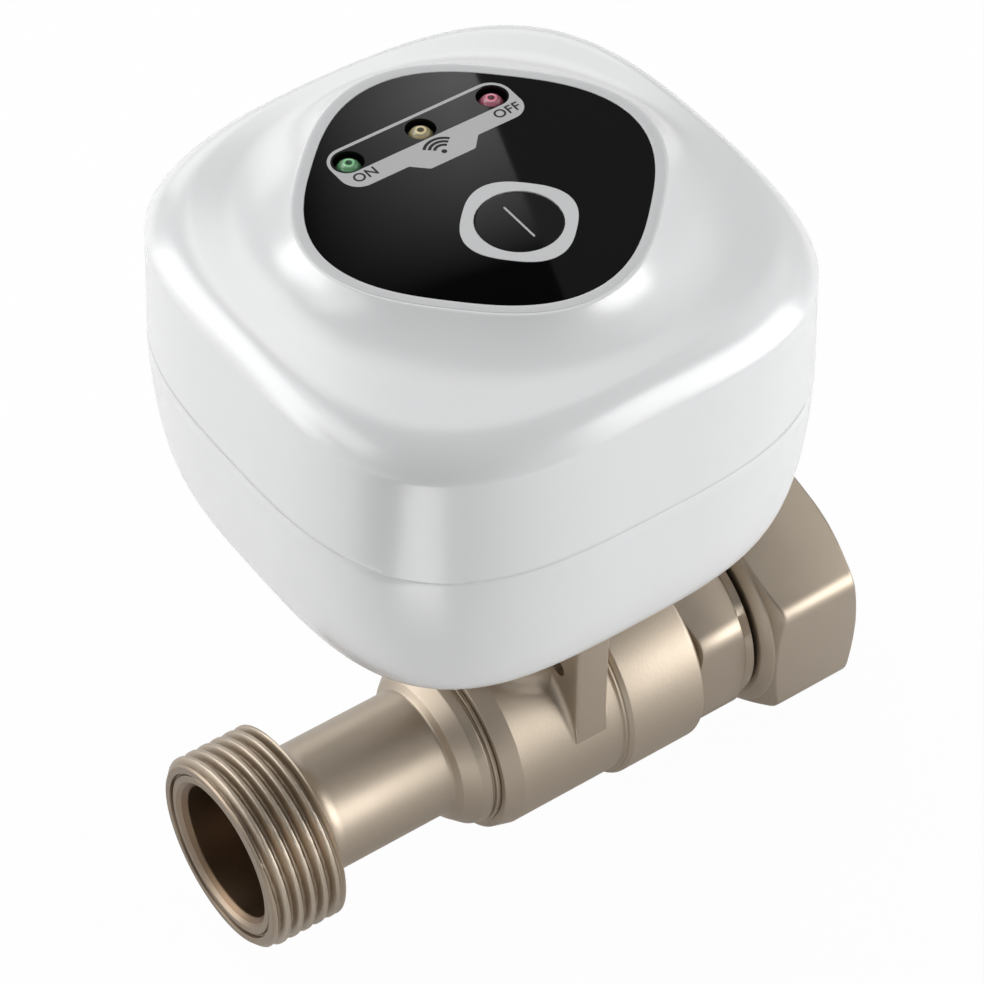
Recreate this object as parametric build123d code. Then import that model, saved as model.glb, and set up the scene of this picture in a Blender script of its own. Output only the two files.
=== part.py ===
from build123d import *
from math import acos, cos, pi, radians, sin, sqrt, tan
import os

# A motor-driven ball valve for a water pipe. Lengths are in millimetres.
# X runs along the pipe towards the union nut, Z runs up the stem to the control panel.
# The origin is on the pipe axis, halfway along the inlet thread.

os.makedirs("parts", exist_ok=True)

# Shared fits and cuts
RUNNING_GAP = 0.05
SLIDING_GAP = 0.08
AIR_GAP = 0.4
OVERRUN = 1.0

# Inlet adapter: a one-inch parallel pipe thread on a slim neck, turned from brass
THREAD_DIAMETER = 33.249
THREAD_LENGTH = 12.9
THREAD_CHAMFER = 1.2
FACE_RING_WIDTH = 1.3
FACE_GROOVE_WIDTH = 0.5
FACE_GROOVE_DEPTH = 0.5
LIP_WIDTH = 1.5
LIP_SINK = 0.25
MOUTH_DIAMETER = 22.9
MOUTH_DEPTH = 10.5
MOUTH_TAPER = 4.5
FLOW_BORE = 17.0
NECK_DIAMETER = 21.9
NECK_LENGTH = 24.8
NECK_FILLET = 4.0
COLLAR_DIAMETER = 29.9
COLLAR_LENGTH = 4.8
COLLAR_TAPER = 3.1
COLLAR_ROUND = 1.2
JOINT_RING_DIAMETER = 31.2
JOINT_RING_LENGTH = 1.1
SPIGOT_DIAMETER = 25.2
SPIGOT_LENGTH = 1.4

# Valve body: barrel, stem tower, side web with a seal-wire hole, and top flange in one casting
RIM_DIAMETER = 32.9
RIM_TAPER = 3.15
BARREL_DIAMETER = 34.56
SLEEVE_DIAMETER = 36.98
SLEEVE_LENGTH = 15.8
SLEEVE_FROM_WEB = 3.2
SLEEVE_STEP = 1.5
SLEEVE_ROUND = 1.6
CAVITY_DIAMETER = 27.2
STEM_FROM_INLET = 57.0
TOWER_DIAMETER = 19.4
TOWER_HEIGHT = 30.0
WEB_INSET = 0.58
WEB_THICKNESS = 6.0
WEB_EDGE = 0.8
WEB_FOOT_ROUND = 1.5
WIRE_HOLE_DIAMETER = 3.0
WIRE_HOLE_OFFSET = 11.4
WIRE_HOLE_HEIGHT = 18.1
FLANGE_DIAMETER = 34.0
FLANGE_THICKNESS = 4.0
FLANGE_EDGE = 0.8

# Ball, seats and stem
BALL_DIAMETER = 26.4
BALL_FLAT_HEIGHT = 12.4
SLOT_WIDTH = 5.0
SLOT_FLOOR_HEIGHT = 9.9
SEAT_DEPTH = 4.4
SEAT_BORE = 17.8
TANG_LENGTH = 9.0
STEM_DIAMETER = 9.0
STEM_COLLAR_DIAMETER = 13.0
STEM_COLLAR_HEIGHT = 3.0
WASHER_THICKNESS = 0.8
RING_SECTION = 1.6
RING_PITCH = 3.5
FIRST_RING_RISE = 3.2
PACKING_HEIGHT = 3.0
GLAND_DIAMETER = 13.8
GLAND_HEX = 14.0
GLAND_HEAD_HEIGHT = 3.0
STEM_SQUARE = 6.2
STEM_SQUARE_HEIGHT = 8.0

# Outlet tail: screwed into the body by its hexagon, with the nipple that carries the union nut
TAIL_GAP = 0.6
TAIL_HEX = 31.0
TAIL_HEX_ROUND = 3.2
TAIL_HEX_LENGTH = 11.2
TAIL_HEX_CHAMFER = 1.0
NIPPLE_DIAMETER = 26.0
NIPPLE_LENGTH = 8.4
NUT_GAP = 0.7
NUT_HEX = 38.0
NUT_HEX_ROUND = 2.0
NUT_LENGTH = 18.7
NUT_CONE_DIAMETER = 33.8
NUT_CONE_LENGTH = 1.3
NUT_BOSS_DIAMETER = 37.2
NUT_BOSS_LENGTH = 0.5
NUT_FACE_BEVEL = 0.7
NUT_END_DIAMETER = 39.4
NUT_END_BEVEL = 1.2
NUT_THREAD_BORE = 30.3
NUT_SHOULDER = 3.5
NUT_RELIEF_BORE = 31.4
NUT_MOUTH_BEVEL = 0.8
CLIP_THICKNESS = 1.4
CLIP_DIAMETER = 29.4
CLIP_GROOVE_DEPTH = 1.0
CLIP_OPENING = 7.0
CLIP_GAP = 0.2
GASKET_THICKNESS = 2.0

# Yoke between the valve and the actuator, and the sleeve that joins the two shafts
YOKE_HEIGHT = 20.0
YOKE_DIAMETER = 30.0
YOKE_BORE = 21.0
YOKE_FLANGE_THICKNESS = 3.0
YOKE_WINDOW_WIDTH = 13.0
YOKE_WINDOW_EDGE = 4.2
COUPLING_DIAMETER = 15.0
COUPLING_FOOT_GAP = 0.8
COUPLING_HEIGHT = 13.0

# Actuator housing: a rounded square box whose top sweeps up to a plateau turned by 45 degrees
HOUSING_OFFSET = 7.7
HOUSING_HEIGHT = 61.0
HOUSING_HALF = 43.56
HOUSING_WALL = 2.4
FLOOR_THICKNESS = 4.4
HOUSING_FLOOR_HALF = 24.0
SEAM_HEIGHT = 31.0
CREASE_HEIGHT = 49.6
CREASE_INSET = 1.0
PLATEAU_HALF = 26.4
DECK_THICKNESS = 2.4
SIDE_POWER = 3.1
CREASE_POWER = 3.28
PLATEAU_POWER = 2.7
FLOOR_CURVE_POWER = 0.36
SEAL_WIDTH = 1.0
SEAL_HEIGHT = 0.8
PILLAR_OFFSET = 27.0
PILLAR_DIAMETER = 9.0
SCREW_WELL_DIAMETER = 6.4
SCREW_WELL_DEPTH = 18.0
SCREW_HOLE_DIAMETER = 3.2
SHAFT_DIAMETER = 12.0

# Control panel
BEZEL_WIDTH = 1.5
BEZEL_DEPTH = 2.4
BEZEL_RISE = 0.15
GLASS_HALF = 24.2
GLASS_THICKNESS = 2.0
LIGHT_PITCH = 12.43
LIGHT_OFFSET = 14.8
LIGHT_DIAMETER = 4.6
LIGHT_FLANGE = 5.4
LIGHT_FLANGE_HEIGHT = 1.0
LIGHT_SINK = 0.2
BUTTON_OFFSET = 9.4
BUTTON_DIAMETER = 12.7
BUTTON_FLANGE = 14.4
BUTTON_FLANGE_HEIGHT = 1.6
BUTTON_STEM_DIAMETER = 3.4
BUTTON_TRAVEL = 0.5
BUTTON_RING_HALF = 8.15
BUTTON_RING_THICKNESS = 0.6
BUTTON_RING_RISE = 0.1
BOARD_THICKNESS = 1.6
BOARD_DROP = 3.6
BOARD_HALF = 22.6
BOARD_POST_DIAMETER = 5.0
BOARD_POST_OFFSET = 16.0
SWITCH_SIZE = 6.2
SWITCH_HEIGHT = 2.9
PLUNGER_DIAMETER = 3.4

# Gear train: motor pinion, one double gear and the output gear on upright shafts
OUTPUT_TEETH = 48
DRIVE_TEETH = 12
WHEEL_TEETH = 35
MOTOR_TEETH = 10
OUTPUT_MODULE = 1.0
WHEEL_MODULE = 0.8
PRESSURE_ANGLE = 25.0
ADDENDUM_SHARE = 0.9
DEDENDUM_SHARE = 1.25
BACKLASH_SHARE = 0.12
FLANK_POINTS = 3
MOTOR_DIRECTION = -45.0
PLATE_THICKNESS = 2.0
PLATE_SPACING = 15.0
OUTPUT_GEAR_LIFT = 1.4
OUTPUT_GEAR_HEIGHT = 6.0
GEAR_FLOAT = 0.3
WHEEL_HEIGHT = 4.0
WHEEL_LIFT = 1.4
JOURNAL_DIAMETER = 8.0
AXLE_DIAMETER = 3.0
HUB_DIAMETER = 7.0
RIM_WIDTH = 2.4
WEB_RECESS = 1.2
CAM_DIAMETER = 14.0
CAM_LOBE_RISE = 2.2
CAM_LOBE_WIDTH = 5.0
CAM_HEIGHT = 4.0
PLATE_PILLAR_DIAMETER = 4.4
MOTOR_DIAMETER = 24.0
MOTOR_HEIGHT = 23.0
MOTOR_BOSS_DIAMETER = 8.0
MOTOR_BOSS_HEIGHT = 1.6
MOTOR_SHAFT_DEPTH = 5.0
MICROSWITCH_LENGTH = 13.0
MICROSWITCH_WIDTH = 6.0
MICROSWITCH_HEIGHT = 6.5
MICROSWITCH_REACH = 10.8
MICROSWITCH_TIP = 0.8
SOCKET_WIDTH = 9.0
SOCKET_HEIGHT = 3.2
SOCKET_DEPTH = 7.0
SOCKET_WALL = 0.4
SOCKET_LIFT = 12.0
SOCKET_TONGUE_WIDTH = 6.6
SOCKET_TONGUE_HEIGHT = 0.7

# Stations along the pipe, worked out from the lengths above
inlet_x = -THREAD_LENGTH / 2
neck_x = inlet_x + THREAD_LENGTH
collar_x = neck_x + NECK_LENGTH
ring_x = collar_x + COLLAR_LENGTH
body_x = ring_x + JOINT_RING_LENGTH
stem_x = inlet_x + STEM_FROM_INLET
seat_reach = stem_x - (body_x + SPIGOT_LENGTH)
web_end_x = stem_x + WEB_THICKNESS
sleeve_x = web_end_x + SLEEVE_FROM_WEB
body_end_x = sleeve_x + SLEEVE_LENGTH
tail_hex_x = body_end_x + TAIL_GAP
tail_hex_end_x = tail_hex_x + TAIL_HEX_LENGTH
nipple_end_x = tail_hex_end_x + NIPPLE_LENGTH
nut_x = tail_hex_end_x + NUT_GAP
nut_end_x = nut_x + NUT_LENGTH
clip_x = nut_x + NUT_SHOULDER + CLIP_GAP

# Levels above the pipe axis
cavity_r = CAVITY_DIAMETER / 2
ball_r = BALL_DIAMETER / 2
stem_r = STEM_DIAMETER / 2
stem_collar_z = BALL_FLAT_HEIGHT + GEAR_FLOAT
washer_z = stem_collar_z + STEM_COLLAR_HEIGHT
stem_hole_z = washer_z + WASHER_THICKNESS
flange_top_z = TOWER_HEIGHT + FLANGE_THICKNESS
gland_z = flange_top_z + RUNNING_GAP
packing_z = TOWER_HEIGHT - PACKING_HEIGHT
stem_square_z = gland_z + GLAND_HEAD_HEIGHT + COUPLING_FOOT_GAP
stem_top_z = stem_square_z + STEM_SQUARE_HEIGHT
housing_z = flange_top_z + YOKE_HEIGHT
floor_z = housing_z + FLOOR_THICKNESS
plate_top_z = floor_z + PLATE_THICKNESS
upper_plate_z = plate_top_z + PLATE_SPACING
upper_plate_top_z = upper_plate_z + PLATE_THICKNESS
output_gear_z = plate_top_z + OUTPUT_GEAR_LIFT
output_gear_top_z = output_gear_z + OUTPUT_GEAR_HEIGHT
wheel_z = output_gear_top_z + WHEEL_LIFT
wheel_top_z = wheel_z + WHEEL_HEIGHT
seam_z = housing_z + SEAM_HEIGHT
crease_z = housing_z + CREASE_HEIGHT
crease_half = HOUSING_HALF - CREASE_INSET
top_z = housing_z + HOUSING_HEIGHT
deck_top_z = top_z - GLASS_THICKNESS
deck_z = deck_top_z - DECK_THICKNESS
board_top_z = deck_z - BOARD_DROP
board_z = board_top_z - BOARD_THICKNESS

# Upright axes, as points in plan
housing_x = stem_x - HOUSING_OFFSET
drive_distance = OUTPUT_MODULE * (OUTPUT_TEETH + DRIVE_TEETH) / 2
motor_distance = WHEEL_MODULE * (WHEEL_TEETH + MOTOR_TEETH) / 2
axle_x = stem_x - drive_distance
motor_x = axle_x + motor_distance * cos(radians(MOTOR_DIRECTION))
motor_y = motor_distance * sin(radians(MOTOR_DIRECTION))


# Helpers for turned and prismatic shapes

def tangent_arc(before, corner, after, radius):
    """Start, middle and end of the arc that rounds a corner with the given radius."""
    back = (before - corner).normalized()
    ahead = (after - corner).normalized()
    half_angle = acos(max(-1, min(1, back.dot(ahead)))) / 2
    setback = radius / tan(half_angle)
    middle_way = (back + ahead).normalized()
    centre = corner + middle_way * (radius / sin(half_angle))
    return corner + back * setback, centre - middle_way * radius, corner + ahead * setback


def rounded_face(corners):
    """Face in the XZ plane from (x, z) or (x, z, rounding radius) corners."""
    points = [Vector(corner[0], 0, corner[1]) for corner in corners]
    radii = [corner[2] if len(corner) > 2 else 0 for corner in corners]
    count = len(points)
    edges = []
    ends = []
    for index in range(count):
        corner = points[index]
        if radii[index] == 0:
            ends.append((corner, corner))
            continue
        before = points[index - 1]
        after = points[(index + 1) % count]
        start, middle, end = tangent_arc(before, corner, after, radii[index])
        edges.append(Edge.make_three_point_arc(start, middle, end))
        ends.append((start, end))
    for index in range(count):
        start = ends[index][1]
        end = ends[(index + 1) % count][0]
        if (end - start).length > 0:
            edges.append(Edge.make_line(start, end))
    return make_face(edges)


def turned_on_pipe(corners):
    """Solid turned about the pipe axis from (x, radius) corners."""
    return revolve(rounded_face(corners), Axis.X)


def turned_upright(corners, x, y=0):
    """Solid turned about an upright axis through (x, y) from (radius, z) corners."""
    return Pos(x, y, 0) * revolve(rounded_face(corners), Axis.Z)


def disc(diameter, bottom, top, x, y=0):
    """Upright cylinder between two levels."""
    return Pos(x, y, (bottom + top) / 2) * Cylinder(diameter / 2, top - bottom)


def block(x_low, x_high, y_low, y_high, z_low, z_high):
    """Rectangular block between two corners."""
    centre = Pos((x_low + x_high) / 2, (y_low + y_high) / 2, (z_low + z_high) / 2)
    return centre * Box(x_high - x_low, y_high - y_low, z_high - z_low)


def pipe_hexagon(across_flats, corner_round, start, end):
    """Hexagonal bar along the pipe with rounded corners and two flats facing along Y."""
    outline = RegularPolygon(across_flats / 2, 6, major_radius=False)
    outline = fillet(outline.vertices(), corner_round)
    profile = Plane.YZ * Rot(0, 0, 90) * outline
    return Pos(start, 0, 0) * extrude(profile, end - start, dir=(1, 0, 0))


def upright_square(size, bottom, top, x):
    """Square bar about an upright axis."""
    return block(x - size / 2, x + size / 2, -size / 2, size / 2, bottom, top)


# Pressure parts along the pipe

def make_inlet_adapter():
    """Male thread, neck and collar, bored through, with a recessed lip in the end face."""
    thread_r = THREAD_DIAMETER / 2
    face_r = thread_r - THREAD_CHAMFER
    groove_r = face_r - FACE_RING_WIDTH
    lip_r = groove_r - FACE_GROOVE_WIDTH
    mouth_r = MOUTH_DIAMETER / 2
    lip_inner_r = lip_r - LIP_WIDTH
    neck_r = NECK_DIAMETER / 2
    collar_r = COLLAR_DIAMETER / 2
    end_x = body_x + SPIGOT_LENGTH
    outline = [
        (inlet_x, face_r),
        (inlet_x + THREAD_CHAMFER, thread_r),
        (neck_x, thread_r, THREAD_CHAMFER / 2),
        (neck_x, neck_r, NECK_FILLET),
        (collar_x, neck_r, COLLAR_ROUND / 2),
        (collar_x + COLLAR_TAPER, collar_r, COLLAR_ROUND),
        (ring_x, collar_r),
        (ring_x, JOINT_RING_DIAMETER / 2),
        (body_x, JOINT_RING_DIAMETER / 2),
        (body_x, SPIGOT_DIAMETER / 2),
        (end_x, SPIGOT_DIAMETER / 2),
        (end_x, FLOW_BORE / 2),
        (inlet_x + MOUTH_DEPTH + MOUTH_TAPER, FLOW_BORE / 2),
        (inlet_x + MOUTH_DEPTH, mouth_r),
        (inlet_x + LIP_SINK + lip_inner_r - mouth_r, mouth_r),
        (inlet_x + LIP_SINK, lip_inner_r),
        (inlet_x + LIP_SINK, lip_r),
        (inlet_x + FACE_GROOVE_DEPTH, lip_r),
        (inlet_x + FACE_GROOVE_DEPTH, groove_r),
        (inlet_x, groove_r),
    ]
    return turned_on_pipe(outline)


def make_valve_body():
    """Casting: barrel and sleeve, tower round the stem, side web and bolted flange."""
    barrel_r = BARREL_DIAMETER / 2
    sleeve_r = SLEEVE_DIAMETER / 2
    barrel = turned_on_pipe([
        (body_x, 0),
        (body_x, RIM_DIAMETER / 2),
        (body_x + RIM_TAPER, barrel_r),
        (sleeve_x, barrel_r),
        (sleeve_x + SLEEVE_STEP, sleeve_r, SLEEVE_STEP / 2),
        (body_end_x, sleeve_r, SLEEVE_ROUND),
        (body_end_x, 0),
    ])
    tower = disc(TOWER_DIAMETER, 0, TOWER_HEIGHT + FLANGE_THICKNESS / 2, stem_x)
    web_half = barrel_r - WEB_INSET
    web_foot_z = sqrt(barrel_r ** 2 - web_half ** 2) - WEB_EDGE
    web = block(stem_x, web_end_x, -web_half, web_half, web_foot_z, TOWER_HEIGHT)
    web = chamfer(web.edges().filter_by(Axis.Z), WEB_EDGE)
    # The barrel is turned over so that its seam line lies underneath, away from the web's foot
    ribbed = Rot(180, 0, 0) * barrel + web
    foot = ribbed.edges().filter_by(GeomType.CIRCLE).filter_by_position(Axis.X, stem_x, web_end_x)
    ribbed = fillet(foot, WEB_FOOT_ROUND)
    flange = disc(FLANGE_DIAMETER, TOWER_HEIGHT, flange_top_z, stem_x)
    flange = chamfer(flange.edges(), FLANGE_EDGE)
    body = ribbed + tower + flange

    cavity = turned_on_pipe([
        (body_x - OVERRUN, 0),
        (body_x - OVERRUN, SPIGOT_DIAMETER / 2),
        (body_x + SPIGOT_LENGTH, SPIGOT_DIAMETER / 2),
        (body_x + SPIGOT_LENGTH, cavity_r),
        (body_end_x + OVERRUN, cavity_r),
        (body_end_x + OVERRUN, 0),
    ])
    body -= cavity
    body -= disc(STEM_COLLAR_DIAMETER + 2 * RUNNING_GAP, ball_r / 2, stem_hole_z, stem_x)
    body -= disc(STEM_DIAMETER + 2 * RUNNING_GAP, 0, packing_z + OVERRUN, stem_x)
    body -= disc(GLAND_DIAMETER, packing_z, flange_top_z + OVERRUN, stem_x)
    for side in (-1, 1):
        wire_hole = Rot(0, 90, 0) * Cylinder(WIRE_HOLE_DIAMETER / 2, WEB_THICKNESS + 2 * OVERRUN)
        body -= Pos(stem_x + WEB_THICKNESS / 2, side * WIRE_HOLE_OFFSET, WIRE_HOLE_HEIGHT) * wire_hole
    return body


def make_ball():
    """Bored ball with a flat and a slot across its top for the stem's tang."""
    ball = Sphere(ball_r) - Rot(0, 90, 0) * Cylinder(FLOW_BORE / 2, BALL_DIAMETER)
    top_z = ball_r + OVERRUN
    ball -= block(-ball_r, ball_r, -ball_r, ball_r, BALL_FLAT_HEIGHT, top_z)
    ball -= block(-SLOT_WIDTH / 2, SLOT_WIDTH / 2, -ball_r, ball_r, SLOT_FLOOR_HEIGHT, top_z)
    return Pos(stem_x, 0, 0) * ball


def make_seat(side):
    """Plastic seat ring with a hollow face that follows the ball."""
    seat_r = ball_r + RUNNING_GAP
    bore_r = SEAT_BORE / 2
    front = seat_reach - SEAT_DEPTH
    contact_start = Vector(front, 0, sqrt(seat_r ** 2 - front ** 2))
    contact_end = Vector(sqrt(seat_r ** 2 - bore_r ** 2), 0, bore_r)
    contact_middle = ((contact_start + contact_end) / 2).normalized() * seat_r
    back_outer = Vector(seat_reach, 0, cavity_r)
    back_inner = Vector(seat_reach, 0, bore_r)
    front_outer = Vector(front, 0, cavity_r)
    edges = [
        Edge.make_three_point_arc(contact_start, contact_middle, contact_end),
        Edge.make_line(contact_end, back_inner),
        Edge.make_line(back_inner, back_outer),
        Edge.make_line(back_outer, front_outer),
        Edge.make_line(front_outer, contact_start),
    ]
    ring = revolve(make_face(edges), Axis.X)
    if side < 0:
        ring = mirror(ring, about=Plane.YZ)
    return Pos(stem_x, 0, 0) * ring


def make_stem():
    """Stem with a tang in the ball, a collar below the tower and a square on top."""
    collar_r = STEM_COLLAR_DIAMETER / 2
    groove_r = stem_r - RING_SECTION
    outline = [
        (0, stem_collar_z),
        (collar_r, stem_collar_z),
        (collar_r, washer_z),
        (stem_r, washer_z),
    ]
    for index in range(2):
        ring_z = stem_hole_z + FIRST_RING_RISE + index * RING_PITCH
        outline.append((stem_r, ring_z - RING_SECTION / 2))
        outline.append((groove_r, ring_z - RING_SECTION / 2))
        outline.append((groove_r, ring_z + RING_SECTION / 2))
        outline.append((stem_r, ring_z + RING_SECTION / 2))
    outline.append((stem_r, stem_square_z))
    outline.append((0, stem_square_z))
    stem = turned_upright(outline, stem_x)
    stem += upright_square(STEM_SQUARE, stem_square_z, stem_top_z, stem_x)
    tang_half = SLOT_WIDTH / 2 - RUNNING_GAP
    tang = block(stem_x - tang_half, stem_x + tang_half, -TANG_LENGTH / 2, TANG_LENGTH / 2,
                 SLOT_FLOOR_HEIGHT, stem_collar_z)
    return stem + tang


def make_stem_ring(index):
    """Rubber ring with softened corners in a groove of the stem."""
    ring_z = stem_hole_z + FIRST_RING_RISE + index * RING_PITCH
    inner_r = stem_r - RING_SECTION
    low = ring_z - RING_SECTION / 2
    high = ring_z + RING_SECTION / 2
    soft = RING_SECTION / 4
    return turned_upright([(inner_r, low, soft), (stem_r, low, soft),
                           (stem_r, high, soft), (inner_r, high, soft)], stem_x)


def make_gland_nut():
    """Hexagon-headed gland that presses the packing down round the stem."""
    bore = STEM_DIAMETER + 2 * RUNNING_GAP
    head = RegularPolygon(GLAND_HEX / 2, 6, major_radius=False)
    nut = Pos(stem_x, 0, gland_z) * extrude(head, GLAND_HEAD_HEIGHT)
    nut += disc(GLAND_DIAMETER, TOWER_HEIGHT, gland_z, stem_x)
    return nut - disc(bore, TOWER_HEIGHT - OVERRUN, stem_square_z, stem_x)


def make_outlet_tail():
    """Threaded spigot, wrench hexagon and the nipple that holds the swivel nut."""
    spigot_x = stem_x + seat_reach
    nipple_r = NIPPLE_DIAMETER / 2
    bar = pipe_hexagon(TAIL_HEX, TAIL_HEX_ROUND, tail_hex_x, tail_hex_end_x)
    corner_r = TAIL_HEX / sqrt(3) - TAIL_HEX_ROUND * (2 / sqrt(3) - 1)
    bar &= turned_on_pipe([
        (tail_hex_x, 0),
        (tail_hex_x, corner_r),
        (tail_hex_end_x, corner_r, TAIL_HEX_CHAMFER),
        (tail_hex_end_x, 0),
    ])
    groove_r = nipple_r - CLIP_GROOVE_DEPTH
    core = turned_on_pipe([
        (spigot_x, 0),
        (spigot_x, cavity_r),
        (tail_hex_x, cavity_r),
        (tail_hex_end_x, cavity_r),
        (tail_hex_end_x, nipple_r),
        (clip_x, nipple_r),
        (clip_x, groove_r),
        (clip_x + CLIP_THICKNESS, groove_r),
        (clip_x + CLIP_THICKNESS, nipple_r),
        (nipple_end_x, nipple_r),
        (nipple_end_x, 0),
    ])
    bore = turned_on_pipe([
        (spigot_x - OVERRUN, 0),
        (spigot_x - OVERRUN, FLOW_BORE / 2),
        (nipple_end_x + OVERRUN, FLOW_BORE / 2),
        (nipple_end_x + OVERRUN, 0),
    ])
    return bar + core - bore


def make_union_nut():
    """Swivel nut: hexagon turned at both ends, coned towards the tail, bored for a pipe thread."""
    bar = pipe_hexagon(NUT_HEX, NUT_HEX_ROUND, nut_x, nut_end_x)
    corner_r = NUT_HEX / sqrt(3) - NUT_HEX_ROUND * (2 / sqrt(3) - 1)
    face_x = nut_x + NUT_CONE_LENGTH + NUT_BOSS_LENGTH
    bevel_r = NUT_HEX / 2 + NUT_FACE_BEVEL
    bar &= turned_on_pipe([
        (nut_x, 0),
        (nut_x, NUT_CONE_DIAMETER / 2),
        (nut_x + NUT_CONE_LENGTH, NUT_BOSS_DIAMETER / 2),
        (face_x, NUT_BOSS_DIAMETER / 2),
        (face_x, bevel_r),
        (face_x + NUT_FACE_BEVEL, corner_r),
        (nut_end_x - NUT_END_BEVEL, corner_r),
        (nut_end_x, NUT_END_DIAMETER / 2),
        (nut_end_x, 0),
    ])
    hole_r = NIPPLE_DIAMETER / 2 + SLIDING_GAP
    thread_r = NUT_THREAD_BORE / 2
    relief_r = NUT_RELIEF_BORE / 2
    shoulder_x = nut_x + NUT_SHOULDER
    relief_x = nipple_end_x + GASKET_THICKNESS + AIR_GAP
    return bar - turned_on_pipe([
        (nut_x - OVERRUN, 0),
        (nut_x - OVERRUN, hole_r),
        (shoulder_x, hole_r),
        (shoulder_x, relief_r),
        (relief_x, relief_r),
        (relief_x, thread_r),
        (nut_end_x - NUT_MOUTH_BEVEL, thread_r),
        (nut_end_x, thread_r + NUT_MOUTH_BEVEL),
        (nut_end_x + OVERRUN, thread_r + NUT_MOUTH_BEVEL),
        (nut_end_x + OVERRUN, 0),
    ])


def make_retaining_clip():
    """Split wire clip in the nipple's groove that keeps the union nut on."""
    clip_r = CLIP_DIAMETER / 2
    inner_r = NIPPLE_DIAMETER / 2 - CLIP_GROOVE_DEPTH
    ring = turned_on_pipe([
        (clip_x, inner_r), (clip_x, clip_r), (clip_x + CLIP_THICKNESS, clip_r),
        (clip_x + CLIP_THICKNESS, inner_r),
    ])
    return ring - block(clip_x - OVERRUN, clip_x + CLIP_THICKNESS + OVERRUN,
                        -CLIP_OPENING / 2, CLIP_OPENING / 2, 0, CLIP_DIAMETER)


def make_tail_seal():
    """Thin sealing washer nipped between the body and the tail's hexagon."""
    outer_r = TAIL_HEX / 2 - AIR_GAP
    return turned_on_pipe([
        (body_end_x, cavity_r), (body_end_x, outer_r), (tail_hex_x, outer_r), (tail_hex_x, cavity_r),
    ])


def make_union_gasket():
    """Flat sealing washer on the end of the nipple."""
    outer_r = NUT_THREAD_BORE / 2 - AIR_GAP
    inner_r = SEAT_BORE / 2
    end_x = nipple_end_x + GASKET_THICKNESS
    return turned_on_pipe([
        (nipple_end_x, inner_r), (nipple_end_x, outer_r), (end_x, outer_r), (end_x, inner_r),
    ])


# Link between valve and actuator

def make_yoke():
    """Flanged hollow column with a window on each side, bolted to both halves."""
    column_r = YOKE_DIAMETER / 2
    flange_r = FLANGE_DIAMETER / 2
    bore_r = YOKE_BORE / 2
    top_flange_z = housing_z - YOKE_FLANGE_THICKNESS
    yoke = turned_upright([
        (bore_r, flange_top_z),
        (flange_r, flange_top_z),
        (flange_r, flange_top_z + YOKE_FLANGE_THICKNESS, FLANGE_EDGE),
        (column_r, flange_top_z + YOKE_FLANGE_THICKNESS),
        (column_r, top_flange_z),
        (flange_r, top_flange_z, FLANGE_EDGE),
        (flange_r, housing_z),
        (bore_r, housing_z),
    ], stem_x)
    window_low = flange_top_z + YOKE_WINDOW_EDGE
    window_high = housing_z - YOKE_WINDOW_EDGE
    yoke -= block(stem_x - YOKE_WINDOW_WIDTH / 2, stem_x + YOKE_WINDOW_WIDTH / 2,
                  -flange_r, flange_r, window_low, window_high)
    return yoke


def make_coupling():
    """Sleeve with a square socket at each end that joins stem and output shaft."""
    foot_z = stem_square_z
    head_z = foot_z + COUPLING_HEIGHT
    sleeve = disc(COUPLING_DIAMETER, foot_z, head_z, stem_x)
    sleeve = chamfer(sleeve.edges(), FLANGE_EDGE)
    return sleeve - upright_square(STEM_SQUARE, foot_z - OVERRUN, head_z + OVERRUN, stem_x)


# Actuator housing

def squircle_points(half, power, z, turn=0, blend=None):
    """Points of a rounded square |x|^power + |y|^power = half^power at one level.

    With blend = (share, half, power) the radius moves by that share towards a second
    rounded square that is turned by 45 degrees.
    """
    count = 32
    points = []
    for index in range(count):
        angle = 2 * pi * index / count
        radius = squircle_radius(half, power, angle + turn)
        if blend:
            share, other_half, other_power = blend
            other = squircle_radius(other_half, other_power, angle + pi / 4)
            radius += share * (other - radius)
        points.append((housing_x + radius * cos(angle), radius * sin(angle), z))
    return points


def squircle_radius(half, power, angle):
    """Distance from the centre to a rounded square in one direction."""
    return half / (abs(cos(angle)) ** power + abs(sin(angle)) ** power) ** (1 / power)


def squircle_wire(half, power, z, turn=0, blend=None):
    """Closed smooth outline through the points of a rounded square."""
    points = squircle_points(half, power, z, turn, blend)
    return Wire([Edge.make_spline([Vector(*point) for point in points], periodic=True)])


def squircle_prism(half, power, bottom, top, turn=0):
    """Upright bar with a rounded square outline."""
    base = Face(squircle_wire(half, power, bottom, turn))
    return extrude(base, top - bottom, dir=(0, 0, 1))


def lower_shell(inset):
    """Tub below the seam: steep sides that curl under to a small flat floor."""
    low = housing_z + inset
    height = seam_z - low
    spread = HOUSING_HALF - HOUSING_FLOOR_HALF
    turn_shares = (1, 0.985, 0.95, 0.89, 0.8, 0.68, 0.52, 0.3, 0)
    sections = []
    for share in turn_shares:
        angle = share * pi / 2
        half = HOUSING_FLOOR_HALF + spread * max(cos(angle), 0) ** FLOOR_CURVE_POWER - inset
        sections.append(squircle_wire(half, SIDE_POWER, seam_z - height * sin(angle)))
    return Solid.make_loft(sections, ruled=True)


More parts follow.
